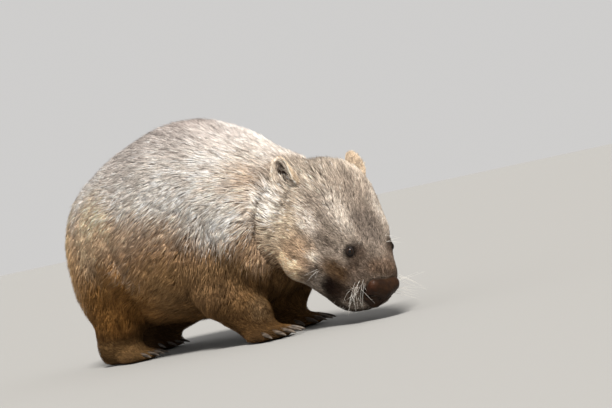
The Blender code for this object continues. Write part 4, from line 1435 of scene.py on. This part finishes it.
@dataclass
class Mouth:
    """The dark line between the lips."""

    radius: float = 0.0010
    sunk: float = 0.0011

    def build(self, path: Array) -> Thing:
        """A fine dark cord sunk in the line of the mouth."""
        curve = bpy.data.curves.new("mouth_line", "CURVE")
        curve.dimensions = "3D"
        curve.bevel_depth = self.radius
        curve.bevel_resolution = 2
        curve.use_fill_caps = True
        line = curve.splines.new("POLY")
        line.points.add(len(path) - 1)
        throat = on_head(Vector((THROAT, 0, MOUTH_HEIGHT)))
        for point, spot in zip(line.points, path):
            outward = (Vector(spot) - throat).normalized()
            point.co = (*(Vector(spot) - outward * self.sunk), 1)
        return thing_of("mouth_line", applied(thing_of("mouth_curve", curve), "mouth_line"))

    def dress(self, piece: Thing, finish: Finished) -> None:
        """Gives the line its finish."""
        dressed(piece, finish, [])


@dataclass
class Claws:
    """The claws of one foot, rounded from the solids."""

    kind: str
    side: int
    levels: int = 2
    swell: float = 0.00025

    def build(self) -> Thing:
        """All claws of the foot as one piece."""
        claws = joined_nodes(self.nodes(), "claws")
        soft = claws.modifiers.new("soft", "SUBSURF")
        soft.levels = self.levels
        soft.render_levels = self.levels
        grow = claws.modifiers.new("grow", "DISPLACE")
        grow.mid_level = 0
        grow.strength = self.swell
        name = f"claws_{self.kind}_{SIDES[self.side]}"
        mesh = applied(claws, name)
        mesh.shade_smooth()
        return thing_of(name, mesh)

    def nodes(self) -> list[str]:
        """The claws' nodes of this foot."""
        return sorted(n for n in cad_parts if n.startswith(f"claw_{self.kind}_{SIDES[self.side]}_"))

    def dress(self, piece: Thing, finish: Finished) -> None:
        """Gives the claws their finish and hides the nodes that they stand for."""
        dressed(piece, finish, self.nodes())


@dataclass
class BristleTree:
    """The node tree that sweeps a tapering round section along each path of a piece."""

    overrun: float = 1.03
    taper: float = 0.7
    inputs: tuple[tuple[str, str], ...] = (("Paths", "Geometry"), ("Root radius", "Float"), ("Sides", "Int"))

    def build(self, name: str, finish: Finished) -> Tree:
        """Builds the tree.

        Args:
            name: Its name.
            finish: The bristles' material.

        Returns:
            The tree, with inputs named Paths, Root radius and Sides.
        """
        tree = bpy.data.node_groups.new(name, "GeometryNodeTree")
        for label, kind in self.inputs:
            tree.interface.new_socket(label, in_out="INPUT", socket_type=f"NodeSocket{kind}")
        tree.interface.new_socket("Mesh", in_out="OUTPUT", socket_type="NodeSocketGeometry")
        add, link = tree.nodes.new, tree.links.new
        start, end = add("NodeGroupInput").outputs, add("NodeGroupOutput")
        run, section = add("GeometryNodeSetCurveRadius"), add("GeometryNodeCurvePrimitiveCircle")
        sweep, smooth = add("GeometryNodeCurveToMesh"), add("GeometryNodeSetShadeSmooth")
        real, clad = add("GeometryNodeRealizeInstances"), add("GeometryNodeSetMaterial")
        share, left, taper = add("GeometryNodeSplineParameter"), add("ShaderNodeMath"), add("ShaderNodeMath")
        left.operation, taper.operation = "SUBTRACT", "POWER"
        left.inputs[0].default_value = self.overrun
        taper.inputs[1].default_value = self.taper
        clad.inputs["Material"].default_value = finish
        sweep.inputs["Fill Caps"].default_value = True
        link(share.outputs["Factor"], left.inputs[1])
        link(left.outputs[0], taper.inputs[0])
        link(start["Paths"], run.inputs["Curve"])
        link(taper.outputs[0], run.inputs["Radius"])
        link(start["Sides"], section.inputs["Resolution"])
        link(start["Root radius"], section.inputs["Radius"])
        link(run.outputs["Curve"], sweep.inputs["Curve"])
        link(section.outputs["Curve"], sweep.inputs["Profile Curve"])
        link(taper.outputs[0], sweep.inputs["Scale"])
        for before, after in ((sweep, smooth), (smooth, real), (real, clad), (clad, end)):
            link(before.outputs[0], after.inputs[0])
        return tree


@dataclass
class Whiskers:
    """Long pale whiskers on the muzzle, brow and cheek, and short bristles on the chin."""

    root_radius: float = 0.00015
    sides: int = 5
    steps: int = 9
    # Whiskers lean out of the skin at least this much, and the others are turned to the second
    least_lean: float = 0.25
    turned_lean: float = 0.35
    sprays: tuple[Spray, ...] = (
        Spray((-0.014, 0.034, -0.006), (0.010, 0.006, 0.018), (0.60, 0.80, 0.10), 20, 0.046, 0.10),
        Spray((-0.062, 0.028, 0.044), (0.006, 0.004, 0.003), (0.45, 0.30, 0.85), 5, 0.026, 0.05),
        Spray((-0.073, 0.060, -0.030), (0.005, 0.003, 0.005), (0.10, 0.95, -0.30), 4, 0.026, 0.15),
        Spray((-0.022, 0.022, -0.056), (0.014, 0.016, 0.008), (0.35, 0.35, -0.80), 22, 0.010, 0.00),
    )

    def paths(self, tree: BVHTree, draw: np.random.Generator) -> list[list[Vector]]:
        """Each whisker's path from just inside the skin to its tip."""
        found = []
        for side in SIDES:
            for spray in self.sprays:
                for _ in range(spray.count):
                    jitter = Vector(spray.spread) * Vector(draw.uniform(-1, 1, 3))
                    root, out, _, _ = tree.find_nearest(on_head(Vector(spray.middle) + jitter, side))
                    aim = way_on_head(Vector(spray.way) + 0.22 * Vector(draw.normal(size=3)), side)
                    if aim.dot(out) < self.least_lean:
                        aim = (aim + out * (self.turned_lean - aim.dot(out))).normalized()
                    reach = spray.length * draw.uniform(0.7, 1.15)
                    bend = Vector((0, 0, -spray.droop)) + 0.12 * Vector(draw.normal(size=3))
                    path = [
                        root - out * 0.001 + aim * reach * t + bend * reach * t * t
                        for t in np.linspace(0, 1, self.steps)
                    ]
                    if min(spot.z for spot in path) > 0.001:
                        found.append(path)
        return found

    def build(self, tree: BVHTree, finish: Finished, draw: np.random.Generator) -> Thing:
        """Sweeps every whisker along its path by the node tree."""
        curve = bpy.data.curves.new("whisker_paths", "CURVE")
        curve.dimensions = "3D"
        for path in self.paths(tree, draw):
            line = curve.splines.new("POLY")
            line.points.add(len(path) - 1)
            for point, spot in zip(line.points, path):
                point.co = (*spot, 1)
        holder = thing_of("whisker_holder", curve)
        modifier = holder.modifiers.new("bristles", "NODES")
        modifier.node_group = BristleTree().build("bristles", finish)
        settings = {"Root radius": self.root_radius, "Sides": self.sides}
        for socket in modifier.node_group.interface.items_tree:
            if socket.name in settings:
                modifier[socket.identifier] = settings[socket.name]
        return thing_of("whiskers", applied(holder, "whiskers"))

    def dress(self, piece: Thing, finish: Finished) -> None:
        """Gives the whiskers their finish."""
        dressed(piece, finish, [])


@dataclass
class Studio:
    """A plain pale floor, soft light from above and the near side, and the photograph's angle."""

    azimuth: float = math.radians(40)
    roll: float = math.radians(12.2)
    distance: float = 3.0
    sideways: float = 0.18
    eye_height: float = 0.185
    origin_x: float = -0.058
    focal_pixels: float = 1920.0
    frame_pixels: float = 612.0
    sensor: float = 36.0
    key_angle: float = math.radians(18)
    key_strength: float = 6.2
    key_colour: Colour = (1.0, 0.97, 0.92)
    fill_size: float = 2.2
    fill_power: float = 7.5
    # The lights' places: how far up, towards the camera and to the picture's right
    key_place: Triple = (2.6, 1.70, -0.10)
    fill_place: Triple = (1.2, 2.6, -1.2)
    lit_height: float = 0.15
    surroundings: float = 0.74
    surroundings_colour: Colour = (0.84, 0.83, 0.82)
    floor_radius: float = 60.0

    def build(self, finish: Finished) -> None:
        """Sets floor, lights, surroundings and camera."""
        self.floor(finish)
        self.lights()
        self.camera()

    def ways(self) -> tuple[Vector, Vector]:
        """The picture's way right, level, and the way from the animal to the camera."""
        right = Vector((math.cos(self.azimuth), math.sin(self.azimuth), 0))
        return right, Vector((math.sin(self.azimuth), -math.cos(self.azimuth), 0))

    def floor(self, finish: Finished) -> None:
        """A wide round floor at the level of the soles."""
        shape = bmesh.new()
        bmesh.ops.create_circle(shape, cap_ends=True, segments=96, radius=self.floor_radius)
        mesh = bpy.data.meshes.new("floor")
        shape.to_mesh(mesh)
        shape.free()
        mesh.materials.append(finish)
        thing_of("floor", mesh)

    def lights(self) -> None:
        """High soft key light, a wide soft fill from the camera's side and pale surroundings."""
        right, near = self.ways()
        up = Vector((0, 0, 1))
        key = bpy.data.lights.new("key", "SUN")
        key.angle = self.key_angle
        key.energy = self.key_strength
        key.color = self.key_colour
        fill = bpy.data.lights.new("fill", "AREA")
        fill.size = self.fill_size
        fill.energy = self.fill_power
        for light, shares in ((key, self.key_place), (fill, self.fill_place)):
            made = thing_of(light.name, light)
            made.location = up * shares[0] + near * shares[1] + right * shares[2]
            made.rotation_mode = "QUATERNION"
            made.rotation_quaternion = (up * self.lit_height - made.location).to_track_quat("-Z", "Y")
        world = bpy.data.worlds.new("surroundings")
        bpy.context.scene.world = world
        world.use_nodes = True
        sky = world.node_tree.nodes["Background"]
        sky.inputs["Color"].default_value = (*self.surroundings_colour, 1)
        sky.inputs["Strength"].default_value = self.surroundings
        bpy.context.scene.view_settings.view_transform = "Standard"

    def camera(self) -> None:
        """The camera at the photograph's angle, rolled as the sloping ground was."""
        right, near = self.ways()
        up = Vector((0, 0, 1))
        lens = bpy.data.cameras.new("camera")
        lens.sensor_width = self.sensor
        lens.lens = self.focal_pixels / self.frame_pixels * self.sensor
        lens.clip_end = 200
        made = thing_of("camera", lens)
        across = math.cos(self.roll) * right - math.sin(self.roll) * up
        upward = math.sin(self.roll) * right + math.cos(self.roll) * up
        turn = Matrix((across, upward, near)).transposed().to_4x4()
        spot = self.sideways * right + self.distance * near + self.eye_height * up
        made.matrix_world = Matrix.Translation(spot + Vector((self.origin_x, 0, 0))) @ turn
        bpy.context.scene.camera = made


def stacked(groups: list[Tuft]) -> Tuft:
    """Several groups of tufts as one."""
    return Tuft(*(np.concatenate(columns) for columns in zip(*groups)))


def main() -> None:
    """Builds the camera and stage, then every piece of the animal."""
    logging.basicConfig(level=logging.INFO, format="%(name)s: %(message)s")
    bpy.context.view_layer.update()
    draw = np.random.default_rng(SEED)
    Studio().build(EvenFinish("pale_floor", 0.85, specular=0.2).build())
    hair = HairFinish("hair", 0.55, specular=0.03).build()
    under = SkinFinish("underfur", 0.9, specular=0.02).build()
    leather = LeatherFinish(
        "nose_skin", 0.55, specular=0.14, coat=0.02, dark=(0.040, 0.015, 0.004),
        light=(0.076, 0.031, 0.009), carries_tone=True,
    ).build()
    bare = LeatherFinish(
        "lip_and_lid_skin", 0.6, specular=0.2, dark=(0.005, 0.003, 0.003), light=(0.012, 0.008, 0.006)
    ).build()
    horn = HornFinish("claw_horn", 0.46, specular=0.3).build()
    wet = EyeFinish("wet_eye", 0.10, specular=0.18, coat=0.12).build()
    bristle = EvenFinish("whisker_hair", 0.4, specular=0.4, colour=(0.72, 0.68, 0.62)).build()

    skin = Skin()
    hide = skin.build()
    tree = BVHTree.FromObject(hide, bpy.context.evaluated_depsgraph_get())
    ears = [Ear(side) for side in SIDES]
    coat = Coat(skin, ears)
    tufts = coat.roots(hide, draw)
    ear_tufts = [group for ear in ears for group in ear.tufts(draw)]
    whole = stacked([tufts, *ear_tufts])
    extra = np.tile(np.eye(len(Region))[Region.HEAD.value], (len(whole.root) - len(tufts.root), 1))
    weights = np.concatenate([coat.weights, extra])
    LOG.info("tufts: %d", len(whole.root))
    for piece in coat.pieces(whole, weights, draw):
        coat.dress(piece, hair)
    skin.dress(hide, under)
    for ear in ears:
        ear.dress(ear.build(), under)
    for side in SIDES:
        eye = Eye(side)
        eye.dress(eye.build(), eye.build_lids(), wet, bare)
        for kind in ("fore", "hind"):
            claws = Claws(kind, side)
            claws.dress(claws.build(), horn)
    nose = Nose()
    nose.dress(nose.build(), leather)
    mouth = Mouth()
    mouth.dress(mouth.build(skin.mouth), bare)
    whiskers = Whiskers()
    whiskers.dress(whiskers.build(tree, bristle, draw), bristle)


if __name__ == "__main__":
    main()
